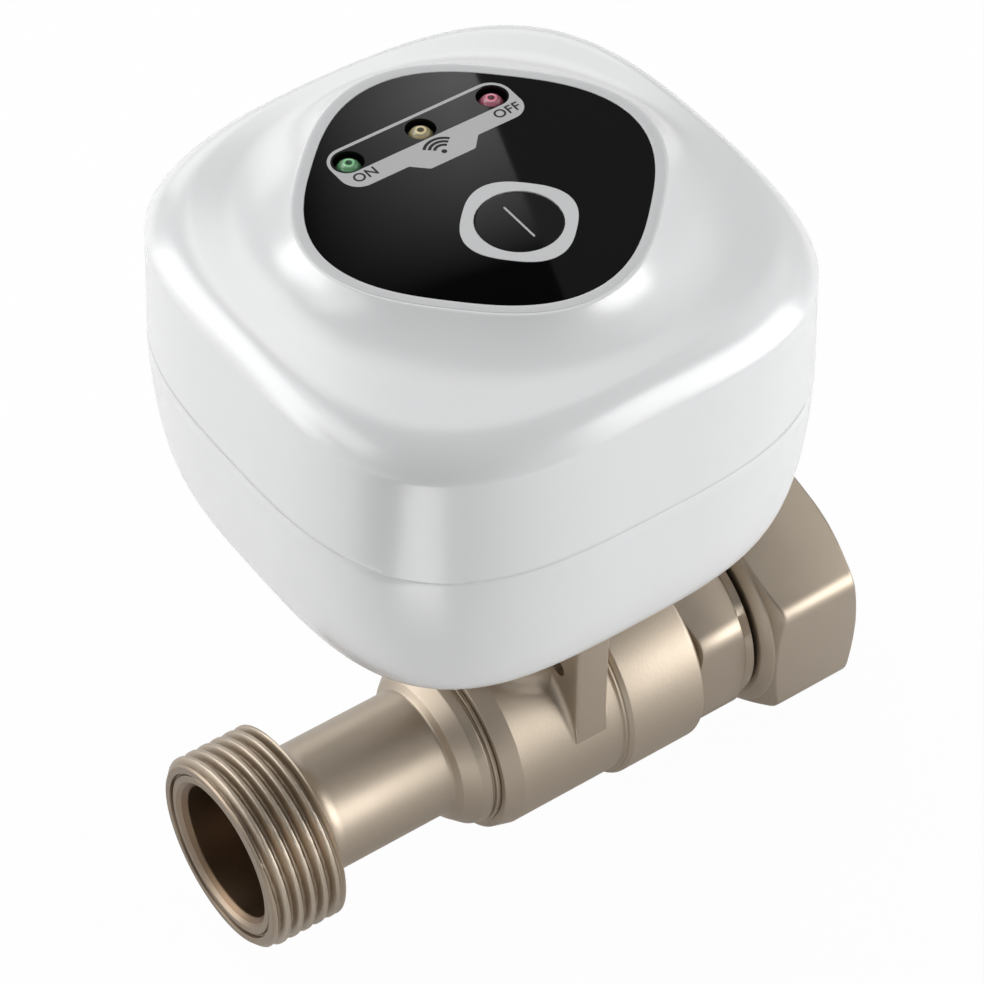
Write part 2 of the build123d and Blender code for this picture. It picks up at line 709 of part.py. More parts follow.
def upper_shell():
    """Cap above the seam: upright sides, a rounded shoulder and a cove up to the plateau."""
    sweep_in_shares = (0.01, 0.055, 0.11, 0.18, 0.25, 0.33, 0.42, 0.52, 0.605, 0.685, 0.765, 0.84, 0.92, 1)
    sweep_up_shares = (0.06, 0.185, 0.295, 0.38, 0.445, 0.485, 0.52, 0.553, 0.588, 0.637, 0.7, 0.772, 0.87, 1)
    sweep_height = top_z - crease_z
    sections = [
        squircle_wire(HOUSING_HALF, SIDE_POWER, seam_z),
        squircle_wire(crease_half, CREASE_POWER, crease_z),
    ]
    for share, up in zip(sweep_in_shares, sweep_up_shares):
        blend = (share, PLATEAU_HALF, PLATEAU_POWER)
        level = crease_z + sweep_height * up
        sections.append(squircle_wire(crease_half, CREASE_POWER, level, 0, blend))
    return Solid.make_loft(sections, ruled=True)


def pillar_places():
    """Plan positions of the four screw pillars in the corners of the housing."""
    return [(housing_x + side_x * PILLAR_OFFSET, side_y * PILLAR_OFFSET)
            for side_x in (-1, 1) for side_y in (-1, 1)]


def make_lower_housing():
    """Moulded tub with screw pillars, shaft hole, seal groove and socket opening."""
    tub = lower_shell(0)
    hollow = lower_shell(HOUSING_WALL)
    hollow -= disc(4 * HOUSING_HALF, housing_z, floor_z, housing_x)
    tub -= hollow
    for x, y in pillar_places():
        pillar = disc(PILLAR_DIAMETER, housing_z + HOUSING_WALL / 2, seam_z, x, y)
        tub += pillar & lower_shell(0)
    for x, y in pillar_places():
        tub -= disc(SCREW_WELL_DIAMETER, housing_z - OVERRUN, housing_z + SCREW_WELL_DEPTH, x, y)
        tub -= disc(SCREW_HOLE_DIAMETER, housing_z, seam_z + OVERRUN, x, y)
    tub -= disc(SHAFT_DIAMETER + 2 * SLIDING_GAP, housing_z - OVERRUN, floor_z + OVERRUN, stem_x)
    tub -= seal_ring(OVERRUN)
    socket_z = seam_z - SOCKET_LIFT
    tub -= block(housing_x - SOCKET_WIDTH / 2, housing_x + SOCKET_WIDTH / 2,
                 HOUSING_HALF - SOCKET_DEPTH, HOUSING_HALF + OVERRUN,
                 socket_z - SOCKET_HEIGHT / 2, socket_z + SOCKET_HEIGHT / 2)
    return tub


def seal_ring(overrun=0):
    """Square-section ring halfway through the wall at the seam."""
    outer = HOUSING_HALF - (HOUSING_WALL - SEAL_WIDTH) / 2
    low = seam_z - SEAL_HEIGHT
    ring = squircle_prism(outer, SIDE_POWER, low, seam_z + overrun)
    return ring - squircle_prism(outer - SEAL_WIDTH, SIDE_POWER, low, seam_z + overrun)


def make_upper_housing():
    """Moulded cap with a recessed deck for the panel, posts for the board and screw pillars."""
    cap = upper_shell()
    hollow_top = crease_z - HOUSING_WALL
    seam_half = HOUSING_HALF - HOUSING_WALL
    hollow = Solid.make_loft([
        squircle_wire(seam_half, SIDE_POWER, seam_z - OVERRUN),
        squircle_wire(seam_half, SIDE_POWER, seam_z),
        squircle_wire(crease_half - HOUSING_WALL, SIDE_POWER, hollow_top),
    ], ruled=True)
    hollow += squircle_prism(BOARD_HALF + AIR_GAP, PLATEAU_POWER, seam_z, deck_z, pi / 4)
    cap -= hollow
    for x, y in pillar_places():
        cap += disc(PILLAR_DIAMETER, seam_z, hollow_top + HOUSING_WALL / 2, x, y)
        cap -= disc(SCREW_HOLE_DIAMETER, seam_z - OVERRUN, hollow_top - HOUSING_WALL, x, y)
    for x, y in board_places():
        cap += disc(BOARD_POST_DIAMETER, board_top_z, deck_z + DECK_THICKNESS / 2, x, y)
    bezel_half = GLASS_HALF + BEZEL_WIDTH
    cap -= squircle_prism(bezel_half, PLATEAU_POWER, top_z - BEZEL_DEPTH, top_z + OVERRUN, pi / 4)
    cap += squircle_prism(GLASS_HALF, PLATEAU_POWER, top_z - BEZEL_DEPTH, deck_top_z, pi / 4)
    for x, y in light_places():
        cap -= disc(LIGHT_DIAMETER + 2 * SLIDING_GAP, board_top_z, top_z, x, y)
    button_y = -BUTTON_OFFSET
    cap -= disc(BUTTON_FLANGE + 2 * SLIDING_GAP, board_top_z, top_z, housing_x, button_y)
    return cap


# Control panel

def light_places():
    """Plan positions of the three indicator lights, in a row along the pipe."""
    return [(housing_x + step * LIGHT_PITCH, LIGHT_OFFSET) for step in (-1, 0, 1)]


def board_places():
    """Plan positions of the four posts that carry the circuit board."""
    return [(housing_x + BOARD_POST_OFFSET, 0), (housing_x - BOARD_POST_OFFSET, 0),
            (housing_x, -BOARD_POST_OFFSET - BOARD_POST_DIAMETER / 2),
            (housing_x, BOARD_POST_OFFSET + BOARD_POST_DIAMETER)]


def make_bezel():
    """Thin grey frame round the glass."""
    low = top_z - BEZEL_DEPTH
    high = top_z + BEZEL_RISE
    ring = squircle_prism(GLASS_HALF + BEZEL_WIDTH, PLATEAU_POWER, low, high, pi / 4)
    return ring - squircle_prism(GLASS_HALF, PLATEAU_POWER, low, high, pi / 4)


def make_glass():
    """Dark glass panel with holes for the lights and the button."""
    glass = squircle_prism(GLASS_HALF, PLATEAU_POWER, deck_top_z, top_z, pi / 4)
    for x, y in light_places():
        glass -= disc(LIGHT_DIAMETER, deck_top_z - OVERRUN, top_z + OVERRUN, x, y)
    hole = BUTTON_DIAMETER + 2 * SLIDING_GAP
    glass -= disc(hole, deck_top_z - OVERRUN, top_z + OVERRUN, housing_x, -BUTTON_OFFSET)
    glass -= button_ring_blank(OVERRUN)
    return glass


def button_ring_blank(rise):
    """Rounded square plate round the button, turned by 45 degrees."""
    low = top_z - BUTTON_RING_THICKNESS
    blank = squircle_prism(BUTTON_RING_HALF, PLATEAU_POWER, low, top_z + rise, pi / 4)
    return Pos(0, -BUTTON_OFFSET, 0) * blank


def make_button_ring():
    """Grey surround let into the glass round the button."""
    hole = BUTTON_DIAMETER + 2 * SLIDING_GAP
    low = top_z - BUTTON_RING_THICKNESS - OVERRUN
    return button_ring_blank(BUTTON_RING_RISE) - disc(hole, low, top_z + OVERRUN,
                                                      housing_x, -BUTTON_OFFSET)


def make_button():
    """Round push button, held under the glass by its flange."""
    flange_z = deck_top_z - BUTTON_FLANGE_HEIGHT
    tip_z = board_top_z + SWITCH_HEIGHT + BUTTON_TRAVEL
    button = disc(BUTTON_DIAMETER, deck_top_z, top_z, housing_x, -BUTTON_OFFSET)
    button += disc(BUTTON_FLANGE, flange_z, deck_top_z, housing_x, -BUTTON_OFFSET)
    button += disc(BUTTON_STEM_DIAMETER, tip_z, flange_z, housing_x, -BUTTON_OFFSET)
    return button


def make_tact_switch():
    """Small switch body on the board, open at the top for its plunger."""
    half = SWITCH_SIZE / 2
    low = board_top_z
    high = low + SWITCH_HEIGHT
    switch = block(housing_x - half, housing_x + half, -BUTTON_OFFSET - half,
                   -BUTTON_OFFSET + half, low, high)
    well = PLUNGER_DIAMETER + 2 * SLIDING_GAP
    return switch - disc(well, high - 2 * BUTTON_TRAVEL, high + OVERRUN, housing_x, -BUTTON_OFFSET)


def make_plunger():
    """Plunger of the small switch, under the button's stem."""
    tip_z = board_top_z + SWITCH_HEIGHT + BUTTON_TRAVEL
    foot_z = board_top_z + SWITCH_HEIGHT - BUTTON_TRAVEL / 2
    return disc(PLUNGER_DIAMETER, foot_z, tip_z, housing_x, -BUTTON_OFFSET)


def make_light(x, y):
    """Round indicator light with a domed tip, standing on the board."""
    lens_r = LIGHT_DIAMETER / 2
    shoulder_z = board_top_z + LIGHT_FLANGE_HEIGHT
    tip_z = top_z - LIGHT_SINK
    return turned_upright([
        (0, board_top_z),
        (LIGHT_FLANGE / 2, board_top_z),
        (LIGHT_FLANGE / 2, shoulder_z),
        (lens_r, shoulder_z),
        (lens_r, tip_z, lens_r / 2),
        (0, tip_z),
    ], x, y)


def make_board():
    """Circuit board hung from the posts below the panel."""
    return squircle_prism(BOARD_HALF, PLATEAU_POWER, board_z, board_top_z, pi / 4)


# Gear train

def gear_blank(teeth, module, phase):
    """Face of a spur gear with involute flanks; one tooth points in the phase direction."""
    pitch_r = module * teeth / 2
    pressure = radians(PRESSURE_ANGLE)
    base_r = pitch_r * cos(pressure)
    tip_r = pitch_r + ADDENDUM_SHARE * module
    root_r = pitch_r - DEDENDUM_SHARE * module
    start_r = max(base_r, root_r)
    half_tooth = (pi / 2 - BACKLASH_SHARE) / teeth
    half_base = half_tooth + tan(pressure) - pressure
    flank = []
    for step in range(FLANK_POINTS):
        radius = start_r + (tip_r - start_r) * step / (FLANK_POINTS - 1)
        roll = sqrt(max((radius / base_r) ** 2 - 1, 0))
        swing = roll - acos(min(base_r / radius, 1))
        flank.append((radius, half_base - swing))
    points = []
    for tooth in range(teeth):
        middle = radians(phase) + 2 * pi * tooth / teeth
        edge = flank[0][1]
        outline = [(root_r, -edge)] if root_r < start_r else []
        outline += [(radius, -angle) for radius, angle in flank]
        outline += [(radius, angle) for radius, angle in reversed(flank)]
        outline += [(root_r, edge)] if root_r < start_r else []
        points += [(radius * cos(middle + angle), radius * sin(middle + angle))
                   for radius, angle in outline]
    return make_face(Polyline(*points, close=True))


def gear(teeth, module, phase, bottom, top, x, y=0):
    """Toothed disc between two levels."""
    return Pos(x, y, bottom) * extrude(gear_blank(teeth, module, phase), top - bottom)


def wheel_recess(teeth, module, hub_diameter, top, x):
    """Ring-shaped recess moulded into the top of a wheel between its hub and its toothed rim."""
    root_diameter = module * (teeth - 2 * DEDENDUM_SHARE)
    recess = disc(root_diameter - 2 * RIM_WIDTH, top - WEB_RECESS, top + OVERRUN, x)
    return recess - disc(hub_diameter, top - WEB_RECESS, top + OVERRUN, x)


def make_output_gear():
    """Large gear on the output shaft, with the square that drives the coupling."""
    shaft_foot_z = stem_square_z + COUPLING_HEIGHT
    wheel = gear(OUTPUT_TEETH, OUTPUT_MODULE, 180, output_gear_z, output_gear_top_z, stem_x)
    wheel -= wheel_recess(OUTPUT_TEETH, OUTPUT_MODULE, CAM_DIAMETER, output_gear_top_z, stem_x)
    wheel += disc(SHAFT_DIAMETER + HUB_DIAMETER, plate_top_z + GEAR_FLOAT, output_gear_z, stem_x)
    wheel += disc(SHAFT_DIAMETER, shaft_foot_z, output_gear_z, stem_x)
    wheel += disc(JOURNAL_DIAMETER, output_gear_top_z, upper_plate_top_z, stem_x)
    return wheel + upright_square(STEM_SQUARE, stem_top_z, shaft_foot_z, stem_x)


def make_double_gear():
    """Wheel and pinion moulded as one, turning on a fixed axle."""
    low = plate_top_z + GEAR_FLOAT
    high = upper_plate_z - GEAR_FLOAT
    cluster = gear(DRIVE_TEETH, OUTPUT_MODULE, 180 / DRIVE_TEETH, low, wheel_z, axle_x)
    cluster += gear(WHEEL_TEETH, WHEEL_MODULE, MOTOR_DIRECTION, wheel_z, wheel_top_z, axle_x)
    cluster -= wheel_recess(WHEEL_TEETH, WHEEL_MODULE, 2 * HUB_DIAMETER, wheel_top_z, axle_x)
    cluster += disc(HUB_DIAMETER, wheel_top_z, high, axle_x)
    return cluster - disc(AXLE_DIAMETER + 2 * RUNNING_GAP, low - OVERRUN, high + OVERRUN, axle_x)


def make_motor_pinion():
    """Motor pinion on its shaft."""
    phase = MOTOR_DIRECTION + 180 + 180 / MOTOR_TEETH
    low = wheel_z - GEAR_FLOAT
    high = wheel_top_z + GEAR_FLOAT
    pinion = gear(MOTOR_TEETH, WHEEL_MODULE, phase, low, high, motor_x, motor_y)
    shaft_top = upper_plate_top_z + MOTOR_SHAFT_DEPTH - GEAR_FLOAT
    return pinion + disc(AXLE_DIAMETER, high, shaft_top, motor_x, motor_y)


def make_axle():
    """Steel axle of the double gear, held in both plates."""
    return disc(AXLE_DIAMETER, floor_z, upper_plate_top_z, axle_x)


def make_motor():
    """Can motor standing on the upper plate, with its bearing boss in the plate."""
    motor = turned_upright([
        (0, upper_plate_z + PLATE_THICKNESS - MOTOR_BOSS_HEIGHT),
        (MOTOR_BOSS_DIAMETER / 2, upper_plate_z + PLATE_THICKNESS - MOTOR_BOSS_HEIGHT),
        (MOTOR_BOSS_DIAMETER / 2, upper_plate_top_z),
        (MOTOR_DIAMETER / 2, upper_plate_top_z),
        (MOTOR_DIAMETER / 2, upper_plate_top_z + MOTOR_HEIGHT, FLANGE_EDGE),
        (0, upper_plate_top_z + MOTOR_HEIGHT),
    ], motor_x, motor_y)
    bore = AXLE_DIAMETER + 2 * RUNNING_GAP
    return motor - disc(bore, upper_plate_z, upper_plate_top_z + MOTOR_SHAFT_DEPTH, motor_x, motor_y)


def plate_outline():
    """Outline shared by the two gear plates, as shares of the distance between the gear axes."""
    corner_shares = ((-1.2, -0.38), (-1.2, 0.38), (-0.81, 1.03), (0.34, 1.03),
                     (0.5, 0.38), (0.5, -0.38), (0.34, -1.03), (-0.81, -1.03))
    corners = [(stem_x + x * drive_distance, y * drive_distance) for x, y in corner_shares]
    face = make_face(Polyline(*corners, close=True))
    return fillet(face.vertices(), PLATE_PILLAR_DIAMETER / 2)


def plate_pillar_places():
    """Plan positions of the four pillars between the plates, clear of the gears."""
    place_shares = ((-0.66, 0.93), (-0.66, -0.93), (0.21, 0.93), (0.21, -0.93))
    return [(stem_x + x * drive_distance, y * drive_distance) for x, y in place_shares]


def make_gear_plate(bottom, shaft_hole):
    """Steel plate with holes for the output shaft and the axle."""
    plate = Pos(0, 0, bottom) * extrude(plate_outline(), PLATE_THICKNESS)
    high = bottom + PLATE_THICKNESS + OVERRUN
    plate -= disc(shaft_hole + 2 * RUNNING_GAP, bottom - OVERRUN, high, stem_x)
    return plate - disc(AXLE_DIAMETER, bottom - OVERRUN, high, axle_x)


def make_upper_plate():
    """Upper plate, with the motor's boss hole as well."""
    plate = make_gear_plate(upper_plate_z, JOURNAL_DIAMETER)
    return plate - disc(MOTOR_BOSS_DIAMETER, upper_plate_z - OVERRUN,
                        upper_plate_top_z + OVERRUN, motor_x, motor_y)


def make_limit_cam():
    """Disc with one lobe that presses a limit switch at each end of the quarter turn."""
    low = wheel_z
    high = low + CAM_HEIGHT
    cam = disc(CAM_DIAMETER, low, high, stem_x)
    lobe_r = CAM_DIAMETER / 2 + CAM_LOBE_RISE
    lobe = block(stem_x, stem_x + lobe_r, -CAM_LOBE_WIDTH / 2, CAM_LOBE_WIDTH / 2, low, high)
    cam += lobe
    return cam - disc(JOURNAL_DIAMETER, low - OVERRUN, high + OVERRUN, stem_x)


def make_limit_switch(angle):
    """Limit switch hung under the upper plate, its tip towards the cam."""
    low = upper_plate_z - MICROSWITCH_HEIGHT
    near = MICROSWITCH_REACH
    half = MICROSWITCH_LENGTH / 2
    body = block(near, near + MICROSWITCH_WIDTH, -half, half, low, upper_plate_z)
    tip_half = CAM_HEIGHT / 4
    tip_z = wheel_z + CAM_HEIGHT / 2
    tip = block(near - MICROSWITCH_TIP, near, -tip_half, tip_half, tip_z - tip_half, tip_z + tip_half)
    return Pos(stem_x, 0, 0) * Rot(0, 0, angle) * (body + tip)


def make_power_socket():
    """Metal-shelled charging socket let into the back wall."""
    socket_z = seam_z - SOCKET_LIFT
    half_width = SOCKET_WIDTH / 2
    half_height = SOCKET_HEIGHT / 2
    back_y = HOUSING_HALF - SOCKET_DEPTH
    front_y = HOUSING_HALF - HOUSING_WALL / 2
    shell = block(housing_x - half_width, housing_x + half_width, back_y, front_y,
                  socket_z - half_height, socket_z + half_height)
    shell -= block(housing_x - half_width + SOCKET_WALL, housing_x + half_width - SOCKET_WALL,
                   back_y + 2 * SOCKET_WALL, front_y + OVERRUN,
                   socket_z - half_height + SOCKET_WALL, socket_z + half_height - SOCKET_WALL)
    tongue = block(housing_x - SOCKET_TONGUE_WIDTH / 2, housing_x + SOCKET_TONGUE_WIDTH / 2,
                   back_y, front_y - SOCKET_WALL,
                   socket_z - SOCKET_TONGUE_HEIGHT / 2, socket_z + SOCKET_TONGUE_HEIGHT / 2)
    return shell + tongue


def make_nodes():
    """Every piece by its name."""
    nodes = {
        "inlet_adapter": make_inlet_adapter(),
        "valve_body": make_valve_body(),
        "ball": make_ball(),
        "seat_ring_inlet": make_seat(-1),
        "seat_ring_outlet": make_seat(1),
        "stem": make_stem(),
        "stem_ring_lower": make_stem_ring(0),
        "stem_ring_upper": make_stem_ring(1),
        "thrust_washer": turned_upright([
            (stem_r + RUNNING_GAP, washer_z), (STEM_COLLAR_DIAMETER / 2, washer_z),
            (STEM_COLLAR_DIAMETER / 2, stem_hole_z), (stem_r + RUNNING_GAP, stem_hole_z)], stem_x),
        "packing_ring": turned_upright([
            (stem_r + RUNNING_GAP, packing_z), (GLAND_DIAMETER / 2, packing_z),
            (GLAND_DIAMETER / 2, TOWER_HEIGHT), (stem_r + RUNNING_GAP, TOWER_HEIGHT)], stem_x),
        "gland_nut": make_gland_nut(),
        "outlet_tail": make_outlet_tail(),
        "union_nut": make_union_nut(),
        "retaining_clip": make_retaining_clip(),
        "tail_seal": make_tail_seal(),
        "union_gasket": make_union_gasket(),
        "yoke": make_yoke(),
        "shaft_coupling": make_coupling(),
        "lower_housing": make_lower_housing(),
        "upper_housing": make_upper_housing(),
        "housing_seal": seal_ring(),
        "panel_bezel": make_bezel(),
        "panel_glass": make_glass(),
        "button_ring": make_button_ring(),
        "button": make_button(),
        "tact_switch": make_tact_switch(),
        "tact_plunger": make_plunger(),
        "circuit_board": make_board(),
        "gear_plate_lower": make_gear_plate(floor_z, SHAFT_DIAMETER),
        "gear_plate_upper": make_upper_plate(),
        "output_gear": make_output_gear(),
        "double_gear": make_double_gear(),
        "motor_pinion": make_motor_pinion(),
        "gear_axle": make_axle(),
        "motor": make_motor(),
        "limit_cam": make_limit_cam(),
        "limit_switch_open": make_limit_switch(0),
        "limit_switch_closed": make_limit_switch(90),
        "power_socket": make_power_socket(),
    }
    for name, place in zip(("light_on", "light_link", "light_off"), light_places()):
        nodes[name] = make_light(*place)
    for index, (x, y) in enumerate(plate_pillar_places(), 1):
        nodes[f"plate_pillar_{index}"] = disc(PLATE_PILLAR_DIAMETER, plate_top_z,
                                              upper_plate_z, x, y)
    return nodes


for node_name, solid in make_nodes().items():
    export_step(solid, f"parts/{node_name}.step")
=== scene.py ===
from math import atan2, cos, pi, radians, sin, tan

import bmesh
import bpy
import numpy as np
from mathutils import Matrix, Vector


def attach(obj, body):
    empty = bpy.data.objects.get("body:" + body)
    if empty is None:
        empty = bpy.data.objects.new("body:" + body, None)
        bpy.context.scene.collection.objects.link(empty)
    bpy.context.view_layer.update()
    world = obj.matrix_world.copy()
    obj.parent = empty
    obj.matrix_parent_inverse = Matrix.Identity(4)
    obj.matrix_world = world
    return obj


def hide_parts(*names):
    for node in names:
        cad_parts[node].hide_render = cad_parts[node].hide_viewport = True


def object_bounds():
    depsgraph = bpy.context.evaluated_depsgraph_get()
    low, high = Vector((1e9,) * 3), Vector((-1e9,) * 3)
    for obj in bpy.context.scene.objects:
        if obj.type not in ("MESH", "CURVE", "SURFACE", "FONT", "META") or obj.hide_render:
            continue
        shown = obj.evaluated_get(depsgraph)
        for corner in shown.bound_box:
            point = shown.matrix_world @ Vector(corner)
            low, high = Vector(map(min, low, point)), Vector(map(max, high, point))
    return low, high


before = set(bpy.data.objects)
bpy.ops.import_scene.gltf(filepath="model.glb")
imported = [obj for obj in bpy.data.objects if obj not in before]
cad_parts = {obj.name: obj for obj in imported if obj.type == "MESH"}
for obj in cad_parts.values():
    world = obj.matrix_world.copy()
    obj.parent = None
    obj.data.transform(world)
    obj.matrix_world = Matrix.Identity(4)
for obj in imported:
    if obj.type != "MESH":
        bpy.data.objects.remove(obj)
cad_low, cad_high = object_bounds()

# Camera
# Stands in front of the inlet end, above and to the left, as in the photograph. Its lens axis
# passes a little left of and above the middle of the picture, which the two small shifts repeat.

MM = 0.001
link = bpy.context.scene.collection.objects.link
camera_data = bpy.data.cameras.new("camera")
camera = bpy.data.objects.new("camera", camera_data)
link(camera)
camera_data.sensor_width = 36.0
camera_data.lens = 147.07
camera_data.shift_x = 0.0514
camera_data.shift_y = -0.0295
camera_data.clip_start = 0.05
camera_data.clip_end = 20.0
camera_right = (0.81944, -0.57316, 0.0)
camera_up = (0.40862, 0.58420, 0.70124)
camera_back = (-0.40192, -0.57462, 0.71293)
camera.matrix_world = Matrix.Translation((-0.20565, -0.3457, 0.4919)) @ Matrix(
    (camera_right, camera_up, camera_back)).transposed().to_4x4()
bpy.context.scene.camera = camera
bpy.context.scene.view_settings.view_transform = "Standard"

# Studio
# A pale floor under the object, a white surround and seven broad soft lamps. Cards seen only in
# reflections are the table, the bright window in the glass, the strips on the front corner and
# the grey cloth behind and above.


def shader(name):
    """A new node material with its Principled shader, and a function that adds a linked node."""
    material = bpy.data.materials.new(name)
    material.use_nodes = True
    tree = material.node_tree
    principled = tree.nodes["Principled BSDF"]

    def add(kind, settings=(), **inputs):
        """Adds a node, sets its properties, and fills its inputs with values or output sockets."""
        node = tree.nodes.new(kind)
        for key, value in dict(settings).items():
            setattr(node, key, value)
        for key, value in inputs.items():
            socket = node.inputs[int(key[1:])] if key[0] == "_" else node.inputs[key.replace("_", " ")]
            if isinstance(value, bpy.types.NodeSocket):
                tree.links.new(value, socket)
            else:
                socket.default_value = value
        return node

    return material, principled, add


def studio_surface(name, colour, shown):
    """A matt surface that the camera sees as plain white paper, with a trace of its own shade."""
    material, principled, add = shader(name)
    tree = material.node_tree
    principled.inputs["Base Color"].default_value = (*colour, 1)
    principled.inputs["Roughness"].default_value = 0.9
    path = add("ShaderNodeLightPath")
    paper = add("ShaderNodeEmission", Color=(1, 1, 1, 1), Strength=1.0)
    share = add("ShaderNodeMath", {"operation": "MULTIPLY"}, _0=path.outputs["Is Camera Ray"], _1=shown)
    mix = add("ShaderNodeMixShader", _0=share.outputs[0], _1=principled.outputs[0], _2=paper.outputs[0])
    tree.links.new(mix.outputs[0], tree.nodes["Material Output"].inputs["Surface"])
    return material


floor_mesh = bpy.data.meshes.new("floor")
reach = 4.0
floor_z = cad_low.z - 0.0005
floor_mesh.from_pydata([(-reach, -reach, floor_z), (reach, -reach, floor_z),
                        (reach, reach, floor_z), (-reach, reach, floor_z)], [], [(0, 1, 2, 3)])
floor = bpy.data.objects.new("floor", floor_mesh)
link(floor)
floor_mesh.materials.append(studio_surface("floor_paper", (0.86, 0.86, 0.86), 0.97))

world = bpy.data.worlds.new("studio")
bpy.context.scene.world = world
world.use_nodes = True
world_nodes, world_links = world.node_tree.nodes, world.node_tree.links
world_path = world_nodes.new("ShaderNodeLightPath")
seen = world_path.outputs["Is Camera Ray"]
for kind in ("Is Glossy Ray", "Is Transmission Ray"):
    either = world_nodes.new("ShaderNodeMath")
    either.operation = "MAXIMUM"
    world_links.new(seen, either.inputs[0])
    world_links.new(world_path.outputs[kind], either.inputs[1])
    seen = either.outputs[0]
soft_room = world_nodes["Background"]
soft_room.inputs["Color"].default_value = (0.985, 0.99, 1.0, 1)
soft_room.inputs["Strength"].default_value = 0.22
white_room = world_nodes.new("ShaderNodeBackground")
white_room.inputs["Color"].default_value = (1, 1, 1, 1)
white_room.inputs["Strength"].default_value = 1.0
world_mix = world_nodes.new("ShaderNodeMixShader")
world_links.new(seen, world_mix.inputs[0])
world_links.new(soft_room.outputs[0], world_mix.inputs[1])
world_links.new(white_room.outputs[0], world_mix.inputs[2])
world_links.new(world_mix.outputs[0], world_nodes["World Output"].inputs["Surface"])


MIDDLE = Vector((0.045, 0.0, 0.06))


def soft_lamp(name, place, width, height, power):
    """A rectangular area lamp at a place, turned to face the middle of the part."""
    data = bpy.data.lights.new(name, "AREA")
    data.shape = "RECTANGLE"
    data.size, data.size_y = width, height
    data.energy = power
    lamp = bpy.data.objects.new(name, data)
    link(lamp)
    lamp.location = place
    lamp.rotation_mode = "QUATERNION"
    lamp.rotation_quaternion = (Vector(place) - MIDDLE).to_track_quat("Z", "Y")


soft_lamp("left_lamp", (-0.79, 0.75, 0.28), 0.9, 0.6, 5.4)
soft_lamp("left_high_lamp", (-0.146, 0.714, 0.941), 0.8, 0.5, 2.8)
soft_lamp("right_lamp", (0.84, -0.80, 0.30), 1.0, 0.7, 9.4)
soft_lamp("right_high_lamp", (0.891, -0.119, 0.829), 0.8, 0.6, 0.9)
soft_lamp("back_lamp", (0.52, 1.01, 0.34), 1.1, 0.5, 2.0)
soft_lamp("top_lamp", (0.204, 0.275, 1.165), 1.0, 0.5, 1.8)
soft_lamp("side_fill", (-0.897, 0.252, 0.67), 0.7, 0.5, 1.9)


def card(name, rows, colour, glow=None, fades=()):
    """A card through rows of points, that shows only in reflections.

    With a glow it shines by itself at that strength. Each fade (direction, full, none) takes the
    glow evenly down to nothing between two places along a direction; two fades multiply.
    """
    mesh = bpy.data.meshes.new(name)
    wide = len(rows[0])
    mesh.from_pydata([point for row in rows for point in row], [],
                     [(start, start + 1, start + 1 + wide, start + wide)
                      for row in range(len(rows) - 1) for start in range(row * wide, row * wide + wide - 1)])
    sheet = bpy.data.objects.new(name, mesh)
    link(sheet)
    material, principled, add = shader(name)
    principled.inputs["Base Color"].default_value = (*colour, 1)
    principled.inputs["Roughness"].default_value = 0.9
    if glow:
        where = add("ShaderNodeTexCoord")
        for direction, full, none in fades:
            along = add("ShaderNodeVectorMath", {"operation": "DOT_PRODUCT"}, _0=where.outputs["Object"],
                        _1=direction)
            fade = add("ShaderNodeMapRange", _0=along.outputs["Value"], _1=full, _2=none, _3=glow, _4=0.0)
            glow = fade.outputs[0]
        shine = add("ShaderNodeEmission", Color=(*colour, 1), Strength=glow)
        tree = material.node_tree
        tree.links.new(shine.outputs[0], tree.nodes["Material Output"].inputs["Surface"])
    mesh.materials.append(material)
    sheet.visible_camera = False
    sheet.visible_diffuse = False
    sheet.visible_shadow = False
    sheet.visible_transmission = False


card_z = floor_z + 0.0002
card("table_card", [[(-1.2, -1.2, card_z), (1.2, -1.2, card_z)], [(-1.2, 1.2, card_z), (1.2, 1.2, card_z)]],
     (0.94, 0.94, 0.94))
card("glass_card", [[(0.467, 0.619, 0.676), (0.431, 0.468, 0.743)],
                    [(0.346, 0.685, 0.682), (0.310, 0.534, 0.749)]],
     (1, 1, 1), 2.3, [((-0.213, -0.893, 0.396), -0.342, -0.267), ((-0.877, 0.478, 0.044), -0.084, -0.022)])
strip_z = floor_z + 0.0006
card("corner_strip", [[(-0.036, -0.096, strip_z), (-0.086, -0.054, strip_z)],
                      [(-0.172, -0.268, strip_z), (-0.228, -0.212, strip_z)]], (1, 1, 1), 2.3)
card("dark_strip", [[(-0.087, -0.053, strip_z), (-0.125, -0.010, strip_z)],
                    [(-0.229, -0.211, strip_z), (-0.42, -0.12, strip_z)]], (0.02, 0.02, 0.02))


def grey_sky(name, start, end, low):
    """Grey cloth far round the part, between two bearings and from an elevation up to overhead."""
    rows = [[(1.7 * cos(rise) * cos(turn), 1.7 * cos(rise) * sin(turn), 1.7 * sin(rise))
             for turn in np.linspace(radians(start), radians(end), 13)]
            for rise in np.linspace(radians(low), pi / 2, 7)]
    card(name, rows, (1, 1, 1), 0.2)


grey_sky("grey_behind", -85, 150, -1)
grey_sky("grey_above", 150, 275, 12)

# Inlet adapter
# The one-inch pipe thread, slim neck and collar, turned from brass bar on a lathe and plated in
# champagne nickel. It screws into the valve body, and its recessed lip seals against the pipe.

INLET_X = -6.45
CREST_R = 16.62
PITCH = 2.309
THREAD_DEPTH = 1.25


